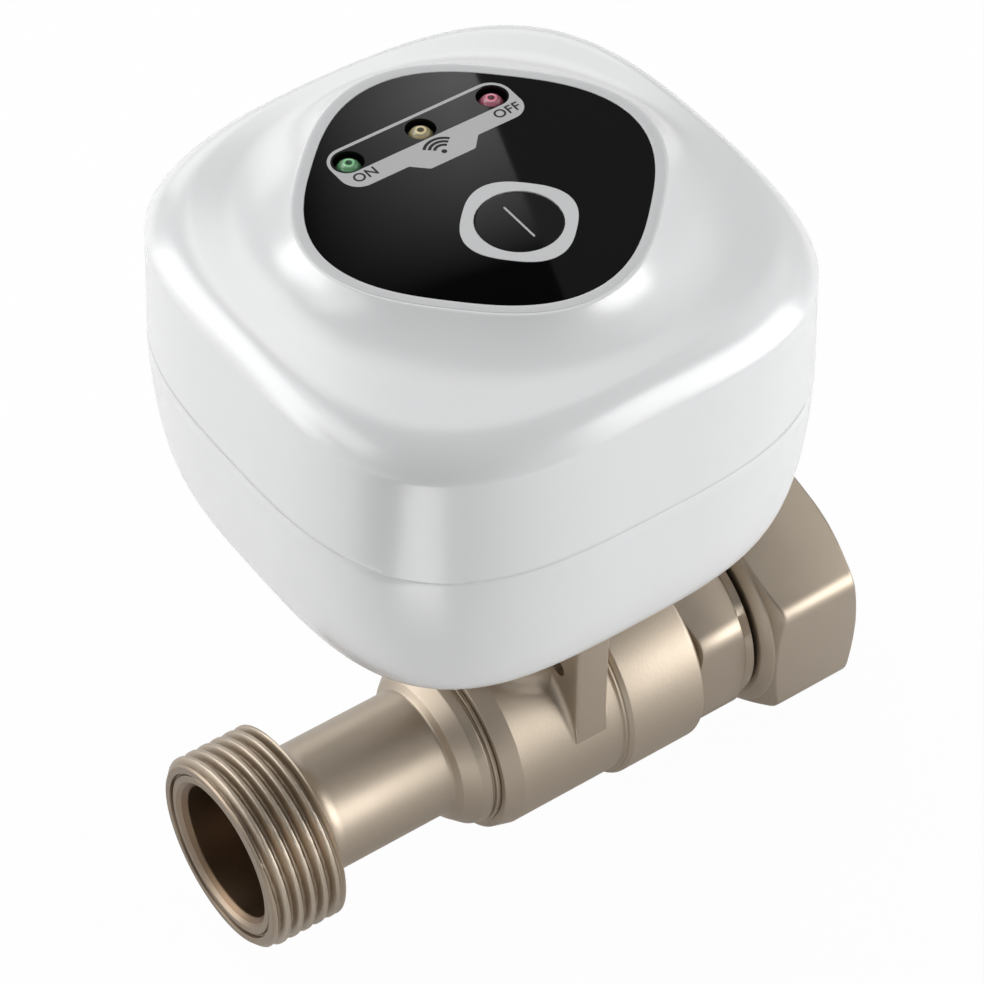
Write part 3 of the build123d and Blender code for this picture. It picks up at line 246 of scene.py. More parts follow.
def rounded(corners, steps=7, closed=True):
    """Points along a line of (a, b, radius) corners, each corner replaced by a tangent arc.

    The arc's centre lies on the corner's bisector at radius / sin(half angle), and its points
    turn evenly between the two tangent points. A corner with no radius stays a single point.
    """
    points = np.array([corner[:2] for corner in corners], float)
    radius = np.array([corner[2] if len(corner) > 2 else 0.0 for corner in corners])[:, None]
    back = np.roll(points, 1, 0) - points
    ahead = np.roll(points, -1, 0) - points
    back /= np.linalg.norm(back, axis=1, keepdims=True)
    ahead /= np.linalg.norm(ahead, axis=1, keepdims=True)
    half = np.arccos(np.clip((back * ahead).sum(1, keepdims=True), -1, 1)) / 2
    bisector = back + ahead
    bisector /= np.maximum(np.linalg.norm(bisector, axis=1, keepdims=True), 1e-9)
    centre = points + bisector * radius / np.sin(half)
    start = points + back * radius / np.tan(half) - centre
    end = points + ahead * radius / np.tan(half) - centre
    sweep = np.maximum(pi - 2 * half, 1e-6)[:, :, None]
    share = np.linspace(0, 1, steps)[None, :, None]
    arc = (np.sin((1 - share) * sweep) * start[:, None] + np.sin(share * sweep) * end[:, None])
    line = centre[:, None] + arc / np.sin(sweep)
    if not closed:
        line[0], line[-1] = points[0], points[-1]
    return line.reshape(-1, 2)


def turned(profile, segments=192, about="X", centre=(0.0, 0.0)):
    """A profile of (along, radius) points in millimetres carried round an axis, as a grid."""
    angle = np.linspace(0, 2 * pi, segments, endpoint=False)
    along = np.repeat(profile[:, :1], segments, 1)
    radius = profile[:, 1:]
    if about == "X":
        return np.stack([along, radius * np.cos(angle), radius * np.sin(angle)], -1)
    return np.stack([centre[0] + radius * np.cos(angle), centre[1] + radius * np.sin(angle), along], -1)


def surface_mesh(name, surfaces, ready=()):
    """One mesh from grids of points in millimetres and from ready meshes.

    Each surface is (grid, its last row meets its first, its last column meets its first).
    """
    places, faces, first = [], [], 0
    for grid, ends_meet, round_meets in surfaces:
        rows, columns = grid.shape[:2]
        index = np.arange(rows * columns).reshape(rows, columns) + first
        if ends_meet:
            index = np.vstack([index, index[:1]])
        if round_meets:
            index = np.hstack([index, index[:, :1]])
        quads = np.stack([index[:-1, :-1], index[1:, :-1], index[1:, 1:], index[:-1, 1:]], -1)
        faces.append(quads.reshape(-1, 4))
        places.append(grid.reshape(-1, 3) * MM)
        first += rows * columns
    mesh = bpy.data.meshes.new(name)
    mesh.from_pydata(np.concatenate(places).tolist(), [], np.concatenate(faces).tolist())
    tidy = bmesh.new()
    tidy.from_mesh(mesh)
    for other in ready:
        tidy.from_mesh(other)
    bmesh.ops.remove_doubles(tidy, verts=tidy.verts, dist=2e-6)
    bmesh.ops.dissolve_degenerate(tidy, edges=tidy.edges, dist=1e-7)
    bmesh.ops.recalc_face_normals(tidy, faces=tidy.faces)
    tidy.to_mesh(mesh)
    tidy.free()
    return mesh


def build(name, surfaces, material, body, slot, stands_for=(), crease=32):
    """One piece from grids of points, as surface_mesh joins them."""
    return place(name, surface_mesh(name, surfaces), material, body, slot, stands_for, crease)


def place(name, mesh, material, body, slot, stands_for=(), crease=32):
    """Shades a mesh smooth up to its creases and makes it a piece that rides on a body."""
    mesh.shade_smooth()
    mesh.set_sharp_from_angle(angle=radians(crease))
    mesh.materials.clear()
    mesh.materials.append(material)
    piece = bpy.data.objects.new(name, mesh)
    link(piece)
    if stands_for:
        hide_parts(*stands_for)
    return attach(piece, body)


def finish(name, colour, roughness, metallic=0.0, drift=0.05, drift_scale=60.0, grain=0.0,
           grain_scale=900.0, stretch=(1.0, 1.0, 1.0), spread=0.05, coat=0.0, centre=(0.0, 0.0, 0.0)):
    """A solid finish: slow noise drifts the colour and the roughness, fine noise gives the grain.

    Colour = base colour times (1 - drift .. 1 + drift); roughness = base +- spread; the bump is a
    fine noise of the stated scale, stretched along an axis for turned or drawn marks.
    """
    material, principled, add = shader(name)
    links = material.node_tree.links
    where = add("ShaderNodeTexCoord")
    slow = add("ShaderNodeTexNoise", Vector=where.outputs["Object"], Scale=drift_scale, Detail=4.0)
    low = tuple(max(0.0, c * (1 - drift)) for c in colour)
    high = tuple(min(1.0, c * (1 + drift)) for c in colour)
    tint = add("ShaderNodeMix", {"data_type": "RGBA"})
    tint.inputs[6].default_value = (*low, 1)
    tint.inputs[7].default_value = (*high, 1)
    links.new(slow.outputs["Fac"], tint.inputs[0])
    links.new(tint.outputs[2], principled.inputs["Base Color"])
    worn = add("ShaderNodeTexNoise", Vector=where.outputs["Object"], Scale=drift_scale * 3, Detail=6.0)
    rough = add("ShaderNodeMapRange", _0=worn.outputs["Fac"], _1=0.3, _2=0.7,
                _3=max(0.02, roughness - spread), _4=min(1.0, roughness + spread))
    links.new(rough.outputs[0], principled.inputs["Roughness"])
    if grain:
        mapping = add("ShaderNodeMapping", Vector=where.outputs["Object"])
        mapping.inputs["Scale"].default_value = stretch
        fine = add("ShaderNodeTexNoise", Vector=mapping.outputs[0], Scale=grain_scale, Detail=3.0)
        bump = add("ShaderNodeBump", Strength=grain, Distance=0.0002, Height=fine.outputs["Fac"])
        links.new(bump.outputs[0], principled.inputs["Normal"])
    principled.inputs["Metallic"].default_value = metallic
    if coat:
        principled.inputs["Coat Weight"].default_value = coat
        principled.inputs["Coat Roughness"].default_value = 0.25
    return material


CHAMPAGNE = (0.46, 0.39, 0.31)
turned_nickel = finish("turned_nickel", CHAMPAGNE, 0.42, 1.0, 0.02, 45.0, 0.06, 420.0, (14.0, 1.0, 1.0),
                       0.02, 0.18)


def paint_bore_and_groove_shade(material, mouth, mouth_end, bore, colour, root, crest, groove):
    """Paints shade into a finish: a dark brown inside the water way, partly the bore's bare brass
    and partly painted shade, and painted shade in the thread's grooves.

    The painted shade lies within the mouth's radius up to the mouth's end along the pipe and within the
    bore's radius beyond it. Up to the mouth's end the finish also fades evenly to the groove's
    share of the painted shade between the thread's crest and its root.
    """
    tree = material.node_tree
    principled = tree.nodes["Principled BSDF"]

    def node(kind, operation=None, *inputs):
        """Adds a node and fills its first inputs with values or sockets."""
        new = tree.nodes.new(kind)
        if operation:
            new.operation = operation
        for socket, value in zip(new.inputs, inputs):
            if isinstance(value, bpy.types.NodeSocket):
                tree.links.new(value, socket)
            else:
                socket.default_value = value
        return new

    where = node("ShaderNodeTexCoord").outputs["Object"]
    across = node("ShaderNodeVectorMath", "MULTIPLY", where, (0, 1, 1)).outputs[0]
    away = node("ShaderNodeVectorMath", "LENGTH", across).outputs["Value"]
    along = node("ShaderNodeSeparateXYZ", None, where).outputs["X"]
    beyond = node("ShaderNodeMath", "GREATER_THAN", along, mouth_end * MM).outputs[0]
    edge = node("ShaderNodeMapRange", None, beyond, 0.0, 1.0, mouth * MM, bore * MM).outputs[0]
    outside = node("ShaderNodeMath", "GREATER_THAN", away, edge).outputs[0]
    rise = node("ShaderNodeMapRange", None, away, root * MM, crest * MM, 1 - groove, 1.0).outputs[0]
    clear = node("ShaderNodeMath", "MAXIMUM", rise, beyond).outputs[0]
    outside = node("ShaderNodeMath", "MULTIPLY", outside, clear).outputs[0]
    tint = tree.nodes.new("ShaderNodeMix")
    tint.data_type = "RGBA"
    tint.inputs[6].default_value = (*colour, 1)
    tree.links.new(outside, tint.inputs[0])
    tree.links.new(principled.inputs["Base Color"].links[0].from_socket, tint.inputs[7])
    tree.links.new(tint.outputs[2], principled.inputs["Base Color"])


# Painted shade: dark brown in the inlet's bore and in the grooves of its thread.
paint_bore_and_groove_shade(turned_nickel, 12.2, INLET_X + 13.4, 9.5, (0.20, 0.135, 0.085), 15.4, 16.4, 0.6)


def pipe_thread(start, end, crest, depth, root_at, inward=False, segments=240, rows=130):
    """Helical thread as a grid: radius = crest - depth * groove(phase), phase = x / pitch - turn.

    groove(phase) is a triangle wave with its tips cut and rounded. The cut fades in over the
    first third of a turn and out over the last, where the tool leaves the work.
    """
    along = np.linspace(start, end, rows)[:, None]
    angle = np.linspace(0, 2 * pi, segments, endpoint=False)[None, :]
    view_angle = radians(128.9)
    phase = (along - root_at) / PITCH - (angle - view_angle) / (2 * pi)
    ramp = 1 - np.abs(2 * (phase - np.floor(phase)) - 1)
    cut = 1 - np.clip((ramp - 0.14) / 0.66, 0, 1)
    cut = cut * cut * (3 - 2 * cut) * 0.55 + cut * 0.45
    fade = np.clip((along - start) / 0.5, 0, 1) * np.clip((end - along) / 0.9, 0, 1)
    step = -depth * cut * fade
    radius = crest + (-step if inward else step)
    return np.stack([along + 0 * angle, radius * np.cos(angle), radius * np.sin(angle)], -1)


def profile_x(corners, closed=True):
    """A profile whose lengths are counted from the inlet's end face."""
    line = rounded(corners, closed=closed)
    line[:, 0] += INLET_X
    return line


thread_grid = pipe_thread(INLET_X, INLET_X + 12.9, CREST_R, THREAD_DEPTH, INLET_X + 3.2)
bevel = 15.44 + (thread_grid[:, :, 0] - INLET_X) * 1.05
radius_now = np.hypot(thread_grid[:, :, 1], thread_grid[:, :, 2])
thread_grid[:, :, 1:] *= (np.minimum(radius_now, bevel) / radius_now)[:, :, None]
outside = turned(profile_x([
    (12.9, 16.62), (13.1, 16.3, 0.3), (13.25, 15.2), (13.6, 10.94, 3.9), (37.5, 10.94, 0.5),
    (38.3, 12.4, 0.4), (40.7, 14.4, 0.8), (42.45, 14.94, 0.25), (42.5, 14.6, 0.1), (42.75, 14.6, 0.1),
    (42.8, 15.25, 0.15), (43.45, 15.3, 0.15), (43.6, 15.0)], False), 240)
inside = turned(profile_x([
    (43.6, 15.0), (43.6, 12.6), (45.0, 12.6), (45.0, 8.5), (15.0, 8.5, 1.5), (10.5, 11.45, 1.0),
    (1.6, 11.45, 0.5), (0.25, 12.8, 0.2), (0.25, 13.85, 0.25), (0.75, 13.95, 0.15), (0.75, 14.25, 0.15),
    (0.0, 14.35, 0.12), (0.0, 15.44)], False), 240)
build("inlet_adapter_turned", [(np.concatenate([thread_grid, outside, inside]), True, True)],
      turned_nickel, "valve", "nickel_brass", ["inlet_adapter"], 40)

# Valve body
# Barrel and sleeve with the stem tower, the side web and its seal-wire holes, and the bolted
# flange: one brass forging, blasted and plated, with the rims and the shoulder turned afterwards.

cast_nickel = finish("cast_nickel", CHAMPAGNE, 0.48, 1.0, 0.02, 38.0, 0.10, 1800.0, spread=0.02, coat=0.18)
STEM_X = 50.55
BARREL_R = 17.28
barrel = turned(profile_x([
    (43.6, 16.45, 0.2), (46.75, 17.28, 0.4), (66.2, 17.28, 0.3), (66.45, 17.75, 0.15), (66.75, 17.75, 0.12),
    (66.85, 17.6, 0.08), (67.0, 17.98, 0.15), (67.65, 18.49, 0.3), (82.0, 18.49, 0.9), (82.0, 13.6),
    (45.0, 13.6), (45.0, 12.6), (43.6, 12.6)]), 240)


def barrel_height(y, sink=0.0):
    """Height of the barrel's top at a distance y from its axis, less a sink."""
    return np.sqrt(np.maximum(BARREL_R ** 2 - np.asarray(y) ** 2, 0)) - sink


def web_plate():
    """The web: its outline in the cross plane, drawn in by a rounded edge on both faces.

    The outline follows the barrel below and the flange above. Rows step from the middle of one
    face, over both edges, to the middle of the other, by scaling the outline about its centre.
    """
    half, low_x, high_x, edge = 16.7, 57.1 + INLET_X, 63.1 + INLET_X, 0.6
    foot = np.linspace(-half, half, 61)
    bottom = np.stack([foot, barrel_height(foot, 0.9)], 1)
    top = np.stack([np.linspace(half, -half, 31), np.full(31, 30.2)], 1)
    outline = np.concatenate([bottom, top])
    centre = np.array([0.0, 24.0])
    turn = np.linspace(0, pi / 2, 5)
    inset = edge * np.concatenate([1 - np.sin(turn), 1 - np.cos(turn)])
    level = np.concatenate([[low_x, low_x], low_x + edge * (1 - np.cos(turn)),
                            high_x - edge * (1 - np.sin(turn)), [high_x, high_x]])
    reach = np.concatenate([[0.0, 0.9], 1 - inset / 16.0, [0.9, 0.0]])
    shape = centre + (outline - centre)[None] * reach[:, None, None]
    return np.concatenate([np.broadcast_to(level[:, None, None], shape.shape[:2] + (1,)), shape], 2)


def web_foot(side):
    """Concave fillet between the barrel and one face of the web, as a strip closed at its ends.

    A quarter circle of radius f joins the two. f is 1.6 mm at the top and dies away towards the
    ends, where the web runs out along the barrel's side.
    """
    face = (57.1 if side < 0 else 63.1) + INLET_X
    swing = np.linspace(-radians(75), radians(75), 97)[None, :]
    size = 1.6 * (1 - np.abs(swing / radians(75)) ** 5) + 0.02
    turn = np.linspace(0, pi / 2, 8)[:, None]
    along = face + side * (size - size * np.sin(turn))
    radius = BARREL_R + size * (1 - np.cos(turn))
    under = BARREL_R - 0.6 + 0 * size
    inner = face - side * 0.5 + 0 * size
    along = np.concatenate([along, inner, inner, face + side * size])
    radius = np.concatenate([radius, BARREL_R + size, under, under])
    strip = np.stack([along, radius * np.sin(swing), radius * np.cos(swing)], -1)
    ends = np.broadcast_to(strip.mean(0), strip.shape)
    return np.concatenate([ends[:, :1], strip, ends[:, -1:]], 1)


def tower():
    """Round tower: its foot follows the barrel, with a concave skirt, and it ends in the flange.

    At plan radius R the barrel is at height sqrt(r^2 - (R sin a)^2); the skirt is a quadratic
    curve from there, 2.2 mm out from the tower, to a point 2.2 mm up its side.
    """
    angle = np.linspace(0, 2 * pi, 144, endpoint=False)[None, :]
    size, tower_r = 2.2, 9.7
    turn = np.linspace(0, 1, 9)[:, None]
    foot = barrel_height((tower_r + size) * np.sin(angle))
    corner = barrel_height(tower_r * np.sin(angle))
    radius = (tower_r + size) * (1 - turn) ** 2 + 2 * tower_r * turn * (1 - turn) + tower_r * turn ** 2
    height = foot * (1 - turn) ** 2 + 2 * corner * turn * (1 - turn) + (corner + size) * turn ** 2
    rows_r = np.concatenate([radius + 0 * angle, np.full((1, 144), tower_r), np.full((1, 144), 7.0),
                             np.full((1, 144), 7.0), np.full((1, 144), tower_r + size)])
    rows_z = np.concatenate([height, np.full((1, 144), 31.0), np.full((1, 144), 31.0),
                             barrel_height(7.0 * np.sin(angle), 0.8), foot - 0.6])
    return np.stack([STEM_X + rows_r * np.cos(angle), rows_r * np.sin(angle), rows_z], -1)


def cut(mesh, holes):
    """The mesh less some closed grids, cut with an exact Boolean."""
    solid, cutter = (bpy.data.objects.new(name, data) for name, data in
                     (("solid", mesh), ("cutter", surface_mesh("cutter", holes))))
    for part in (solid, cutter):
        link(part)
    hole = solid.modifiers.new("hole", "BOOLEAN")
    hole.operation, hole.solver, hole.object = "DIFFERENCE", "EXACT", cutter
    bpy.context.view_layer.update()
    result = bpy.data.meshes.new_from_object(solid.evaluated_get(bpy.context.evaluated_depsgraph_get()))
    for part in (solid, cutter):
        bpy.data.objects.remove(part)
    return result


def rod(start, end, radius, about="Z", centre=(0.0, 0.0), segments=64):
    """A closed round rod between two places on an axis, as a surface."""
    grid = turned(np.array([(start, 0.0), (start, radius), (end, radius), (end, 0.0)]), segments, about,
                  (0.0, 0.0) if about == "X" else centre)
    if about == "X":
        grid = grid + np.array([0.0, *centre])
    return grid, False, True


flange = turned(rounded([
    (30.0, 6.95), (30.0, 9.7), (30.0, 17.0, 0.7), (34.0, 17.0, 0.5), (34.0, 6.95)]), 192, "Z", (STEM_X, 0.0))
web = cut(surface_mesh("web", [(web_plate(), False, True)]),
          [rod(49.9, 57.4, 1.5, "X", (side * 11.4, 18.1)) for side in (-1, 1)])
body_grids = [(barrel, True, True), (web_foot(-1), True, False), (web_foot(1), True, False),
              (tower(), True, True), (flange, True, True)]
place("valve_body_forged", surface_mesh("valve_body_forged", body_grids, [web]), cast_nickel, "valve",
      "nickel_brass", ["valve_body"], 30)

# Outlet tail
# Hexagon with the threaded spigot behind it and the nipple that carries the union nut, made from
# hexagon bar: the flats keep the bar's surface and the ends are turned down to a cone.

hex_nickel = finish("hex_nickel", CHAMPAGNE, 0.42, 1.0, 0.02, 50.0, 0.06, 700.0, (6.0, 1.0, 1.0), 0.02, 0.18)


def hexagon_radius(angle, half, corner):
    """Distance from the axis to a hexagon with rounded corners, in one direction.

    On a flat it is half / cos(angle from the flat); near a corner it is the far crossing of the
    ray with the corner's circle, whose centre lies (half - corner) / cos 30 from the axis.
    """
    swing = (angle + pi / 6) % (pi / 3) - pi / 6
    flat = half / np.cos(swing)
    centre = (half - corner) / cos(pi / 6)
    away = pi / 6 - np.abs(swing)
    arc = centre * np.cos(away) + np.sqrt(np.maximum(corner ** 2 - (centre * np.sin(away)) ** 2, 0))
    limit = atan2((half - corner) * tan(pi / 6), half)
    return np.where(np.abs(swing) > limit, arc, flat)


def turned_hexagon(stations, half, corner, segments=360):
    """A hexagon bar with turned ends, as a grid.

    stations are (x, radius, x slope) rows. A radius of zero or less means the bar's own radius,
    sunk by that much; such a row moves along x with the slope, so that it follows a turned cone.
    """
    angle = np.linspace(0, 2 * pi, segments, endpoint=False)
    bar = hexagon_radius(angle, half, corner)
    rows = []
    for x, radius, slope in stations:
        if radius <= 0:
            size = bar + radius
            rows.append(np.stack([x + slope * (bar - half), size * np.cos(angle), size * np.sin(angle)], -1))
        else:
            rows.append(np.stack([np.full(segments, x), radius * np.cos(angle), radius * np.sin(angle)], -1))
    return np.array(rows)


X82, X94 = 82.6 + INLET_X, 93.8 + INLET_X
tail = turned_hexagon([
    (X82, 13.6, 0), (X82, 15.2, 0), (X82 + 0.15, 15.25, 0), (X82 + 0.2, -0.18, 0.35),
    (X82 + 0.28, -0.06, 0.36), (X82 + 0.5, 0, 0.4), (X94 - 1.6, 0, -0.52), (X94 - 1.35, -0.05, -0.56),
    (X94 - 1.15, -0.18, -0.6), (X94 - 0.25, 16.3, 0), (X94, 15.9, 0), (X94, 13.0, 0),
    (X94 + 3.9, 13.0, 0), (X94 + 4.4, 12.0, 0), (X94 + 5.8, 12.0, 0), (X94 + 5.8, 13.0, 0),
    (X94 + 8.1, 13.0, 0), (X94 + 8.4, 12.7, 0), (X94 + 8.4, 8.5, 0), (62.75, 8.5, 0), (62.75, 13.6, 0)],
    15.5, 4.4)
build("outlet_tail_turned", [(tail, True, True)], hex_nickel, "valve", "nickel_brass", ["outlet_tail"], 28)

# Union nut
# The swivel nut that draws the next pipe onto the washer: hexagon brass bar, coned towards the
# tail, chamfered on the corners, threaded inside, and kept on the nipple by a wire clip.

N = 94.5 + INLET_X
NUT_HALF, NUT_CORNER = 19.0, 3.6
nut_outside = turned_hexagon([
    (N, 13.1, 0), (N, 16.7, 0), (N + 0.1, 16.95, 0), (N + 1.2, 18.45, 0), (N + 1.35, 18.6, 0),
    (N + 1.6, 18.7, 0), (N + 1.66, -0.22, 0.42), (N + 1.72, -0.12, 0.43), (N + 1.84, -0.04, 0.45),
    (N + 2.15, 0, 0.5),
    (N + 17.9, 0, -0.42), (N + 18.15, -0.05, -0.42), (N + 18.35, -0.2, -0.42),
    (N + 18.62, 18.55, 0), (N + 18.7, 18.3, 0), (N + 18.7, 16.0, 0)], NUT_HALF, NUT_CORNER)
thread_inside = pipe_thread(N + 10.2, N + 17.9, 15.15, 1.2, N + 12, inward=True, segments=360)[::-1]
nut_inside = turned_hexagon([
    (N + 9.8, 15.7, 0), (N + 3.5, 15.7, 0), (N + 3.5, 13.1, 0)], NUT_HALF, NUT_CORNER)
build("union_nut_turned", [(np.concatenate([nut_outside, thread_inside, nut_inside]), True, True)],
      hex_nickel, "union_nut", "nickel_brass", ["union_nut"], 28)

# Sealing washers and wire clip
# A thin fibre washer nipped behind the tail's hexagon, a rubber-bonded washer on the nipple's
# end, and the spring wire clip, bent from round wire, in the nipple's groove.

fibre = finish("fibre_washer", (0.05, 0.055, 0.05), 0.7, 0.0, 0.25, 200.0, 0.5, 1600.0)
spring_wire = finish("spring_wire", (0.55, 0.55, 0.56), 0.25, 1.0, 0.04, 80.0, 0.1, 900.0)
washer = rounded([(82.0, 13.6), (82.0, 15.1, 0.15), (82.6, 15.1, 0.15), (82.6, 13.6)])
build("tail_seal_washer", [(turned(washer + [INLET_X, 0]), True, True)], fibre, "valve", "fibre",
      ["tail_seal"])
X102 = 102.2 + INLET_X
gasket = rounded([(X102, 8.9, 0.3), (X102, 14.75, 0.3), (X102 + 2, 14.75, 0.5), (X102 + 2, 8.9, 0.5)])
build("union_gasket_washer", [(turned(gasket), True, True)], fibre, "valve", "fibre", ["union_gasket"])


def wire_ring(x, mean, wire, gap):
    """An open ring of round wire: a small circle carried along a large arc, closed at its ends."""
    swing = np.linspace(pi / 2 + gap, 5 * pi / 2 - gap, 121)[None, :]
    turn = np.linspace(0, 2 * pi, 14, endpoint=False)[:, None]
    taper = np.clip(np.minimum(np.arange(121), 120 - np.arange(121)) / 0.5, 0, 1)[None, :]
    radius = mean + wire * taper * np.cos(turn)
    return np.stack([x + wire * taper * np.sin(turn), radius * np.cos(swing), radius * np.sin(swing)], -1)


build("retaining_clip_wire", [(wire_ring(N + 4.4, 13.3, 0.68, 0.25), True, False)],
      spring_wire, "valve", "spring_steel", ["retaining_clip"])

# Yoke
# The short hollow column between the valve and its actuator: a die-cast light alloy piece with a
# flange at each end and a window on each side, through which the turning shaft can be seen.

alloy = finish("cast_alloy", (0.56, 0.56, 0.57), 0.42, 1.0, 0.05, 60.0, 0.12, 1300.0)
lower_flange = [(34.0, 10.5), (34.0, 17.0, 0.4), (37.0, 17.0, 0.6), (37.0, 15.0), (38.2, 15.0), (38.2, 10.5)]
upper_flange = [(54.0, 10.5), (49.8, 10.5), (49.8, 15.0), (51.0, 15.0), (51.0, 17.0, 0.6), (54.0, 17.0, 0.4)]
yoke_flanges = [(turned(rounded(line), 192, "Z", (STEM_X, 0.0)), True, True)
                for line in (lower_flange, upper_flange)]


def column(side):
    """One half of the yoke's wall between the windows: an upright section swept about the stem's axis.

    At both ends of the sweep the section closes to its middle.
    """
    section = np.array([(10.5, 37.5), (15.0, 37.5), (15.0, 50.5), (10.5, 50.5)])
    size = np.concatenate([[0], np.ones(49), [0]])[:, None, None]
    rows = section.mean(0) + size * (section - section.mean(0))
    swing = np.clip(np.linspace(-64.6, 64.6, 51), -62, 62)
    swing = (np.radians(swing) + (0 if side > 0 else pi))[:, None]
    return np.stack([STEM_X + rows[..., 0] * np.cos(swing), rows[..., 0] * np.sin(swing), rows[..., 1]], -1)


build("yoke_cast", [*yoke_flanges, (column(1), False, True), (column(-1), False, True)],
      alloy, "valve", "grey_casting", ["yoke"], 30)

# Lower housing
# The white moulded tub that the motor and gears sit in. Its sides curl under to a small flat
# floor, which sits on the yoke; four screws in deep wells draw it up to the cap.

HOUSING_X = 42.85
white_plastic = finish("white_plastic", (0.83, 0.835, 0.84), 0.26, 0.0, 0.004, 12.0, 0.02, 2600.0,
                       spread=0.01, coat=1.0)
white_plastic.node_tree.nodes["Principled BSDF"].inputs["Coat IOR"].default_value = 1.6
round_angle = np.linspace(0, 2 * pi, 288, endpoint=False)
SEAM_Z, CREASE_Z, TOP_Z, HALF = 84.97, 103.15, 115.0, 43.56


def squircle(half, power, turn=0.0):
    """Radius of the rounded square |x|^p + |y|^p = half^p at each angle, after a turn."""
    angle = round_angle + turn
    return half / (np.abs(np.cos(angle)) ** power + np.abs(np.sin(angle)) ** power) ** (1 / power)


def moulded(rows):
    """A grid about the housing's axis from rows of (radius at each angle, height)."""
    radius = np.array([row[0] + 0 * round_angle for row in rows])
    height = np.array([row[1] + 0 * round_angle for row in rows])
    return np.stack([HOUSING_X + radius * np.cos(round_angle), radius * np.sin(round_angle), height], -1)


def tub_rows():
    """Rows of the tub: half width = 24 + 19.6 cos(t)^0.36, height = seam - 0.4 - 30.57 sin(t)."""
    rows = [(0.0, 54.0), (squircle(20.0, 2.6), 54.0)]
    for share in 1 - np.linspace(0, 1, 44) ** 1.6:
        turn = share * pi / 2
        half = 23.95 + (HALF - 23.95) * max(cos(turn), 0) ** 0.36
        power = 3.1 + 0.26 * sin(turn) ** 3
        rows.append((squircle(half, power), SEAM_Z - 0.4 - 30.57 * sin(turn)))
    inside = [(HALF - 0.1, 3.1, SEAM_Z - 0.08), (HALF - 0.14, 3.1, SEAM_Z - 0.03),
              (HALF - 2.4, 3.1, SEAM_Z - 0.03), (HALF - 2.6, 3.1, 72.0), (36.0, 3.0, 60.5)]
    rows += [(squircle(half, power), height) for half, power, height in inside]
    return rows + [(0.0, 58.4)]


pillars = [(HOUSING_X + side_x * 27.0, side_y * 27.0) for side_x in (-1, 1) for side_y in (-1, 1)]
slot_line = rounded([(-4.5, -1.6, 1.5), (4.5, -1.6, 1.5), (4.5, 1.6, 1.5), (-4.5, 1.6, 1.5)])
slot_rows = [np.stack([HOUSING_X + size * slot_line[:, 0], np.full(len(slot_line), depth),
                       73.0 + size * slot_line[:, 1]], 1)
             for size, depth in ((0, 36.56), (1, 36.56), (1, 44.6), (0, 44.6))]
tub = cut(surface_mesh("tub", [(moulded(tub_rows()), False, True)]),
          [*(rod(50.0, 62.0, 3.22, "Z", spot) for spot in pillars),
           rod(50.0, 60.0, 6.08, "Z", (STEM_X, 0.0), 96), (np.array(slot_rows), False, True)])
pillar_line = np.array([(57.0, 3.2), (57.0, 4.5), (SEAM_Z - 0.03, 4.5), (SEAM_Z - 0.03, 1.6), (72.0, 1.6),
                        (72.0, 3.2)])
tubes = [(turned(pillar_line, 64, "Z", spot), True, True) for spot in pillars]
place("lower_housing_moulded", surface_mesh("lower_housing_moulded", tubes, [tub]), white_plastic, "valve",
      "white_shell", ["lower_housing"], 50)

# Housing screws
# Four pan-head screws of zinc-plated steel at the ends of the wells, turned up into the cap's
# pillars, each with a cross recess pressed into its head.

zinc_steel = finish("zinc_steel", (0.60, 0.61, 0.63), 0.28, 1.0, 0.05, 70.0, 0.1, 900.0)


def upright(line, low, high, centre):
    """A closed upright bar between two heights with a stated outline about a centre, as a surface."""
    flat = np.stack([line * size for size in (0, 1, 1, 0)]) + np.array(centre)
    level = np.array([low, low, high, high])[:, None, None]
    return np.concatenate([flat, np.broadcast_to(level, flat.shape[:2] + (1,))], 2), False, True


arm = np.array([(1.5, -0.3), (1.5, 0.3), (0.3, 0.3)])
plus = np.concatenate([arm @ np.array([(cos(turn), sin(turn)), (-sin(turn), cos(turn))])
                       for turn in (0, pi / 2, pi, 3 * pi / 2)])
screw_line = rounded([(69.7, 0.0), (69.7, 2.0, 0.8), (70.9, 2.75, 0.4), (71.95, 2.75, 0.15), (71.95, 1.4),
                      (84.0, 1.4, 0.3), (84.0, 0.0)], 5, closed=False)
screws = cut(surface_mesh("screws", [(turned(screw_line, 44, "Z", spot), False, True) for spot in pillars]),
             [upright(plus, 69.0, 70.9, spot) for spot in pillars])
place("housing_screws", screws, zinc_steel, "valve", "spring_steel", (), 40)

# Upper housing
# The white moulded cap: upright walls, a soft rounded crease and a hollow sweep up to the raised
# plateau, which is a rounded square turned by 45 degrees and carries the control panel.


def shoulder_shares(count=90):
    """Shares inward and upward along the line from the crease to the plateau.

    The line is followed by its normal's tilt from level: a tight turn from 3 to 30 degrees, a
    round shoulder of 10 mm to 80 degrees, a short straight, and a cove of 21 mm back to 48 degrees.
    Each small step goes inward by the sine of the tilt and upward by its cosine.
    """
    length = np.cumsum([0.0, 0.7, 8.7, 4.3, 11.9])
    tilt = np.radians([3.0, 30.0, 80.0, 80.0, 48.0])
    along = np.linspace(0, length[-1], count + 1)
    middle = np.interp((along[1:] + along[:-1]) / 2, length, tilt)
    inward, upward = np.cumsum(np.sin(middle)), np.cumsum(np.cos(middle))
    return inward / inward[-1], upward / upward[-1]


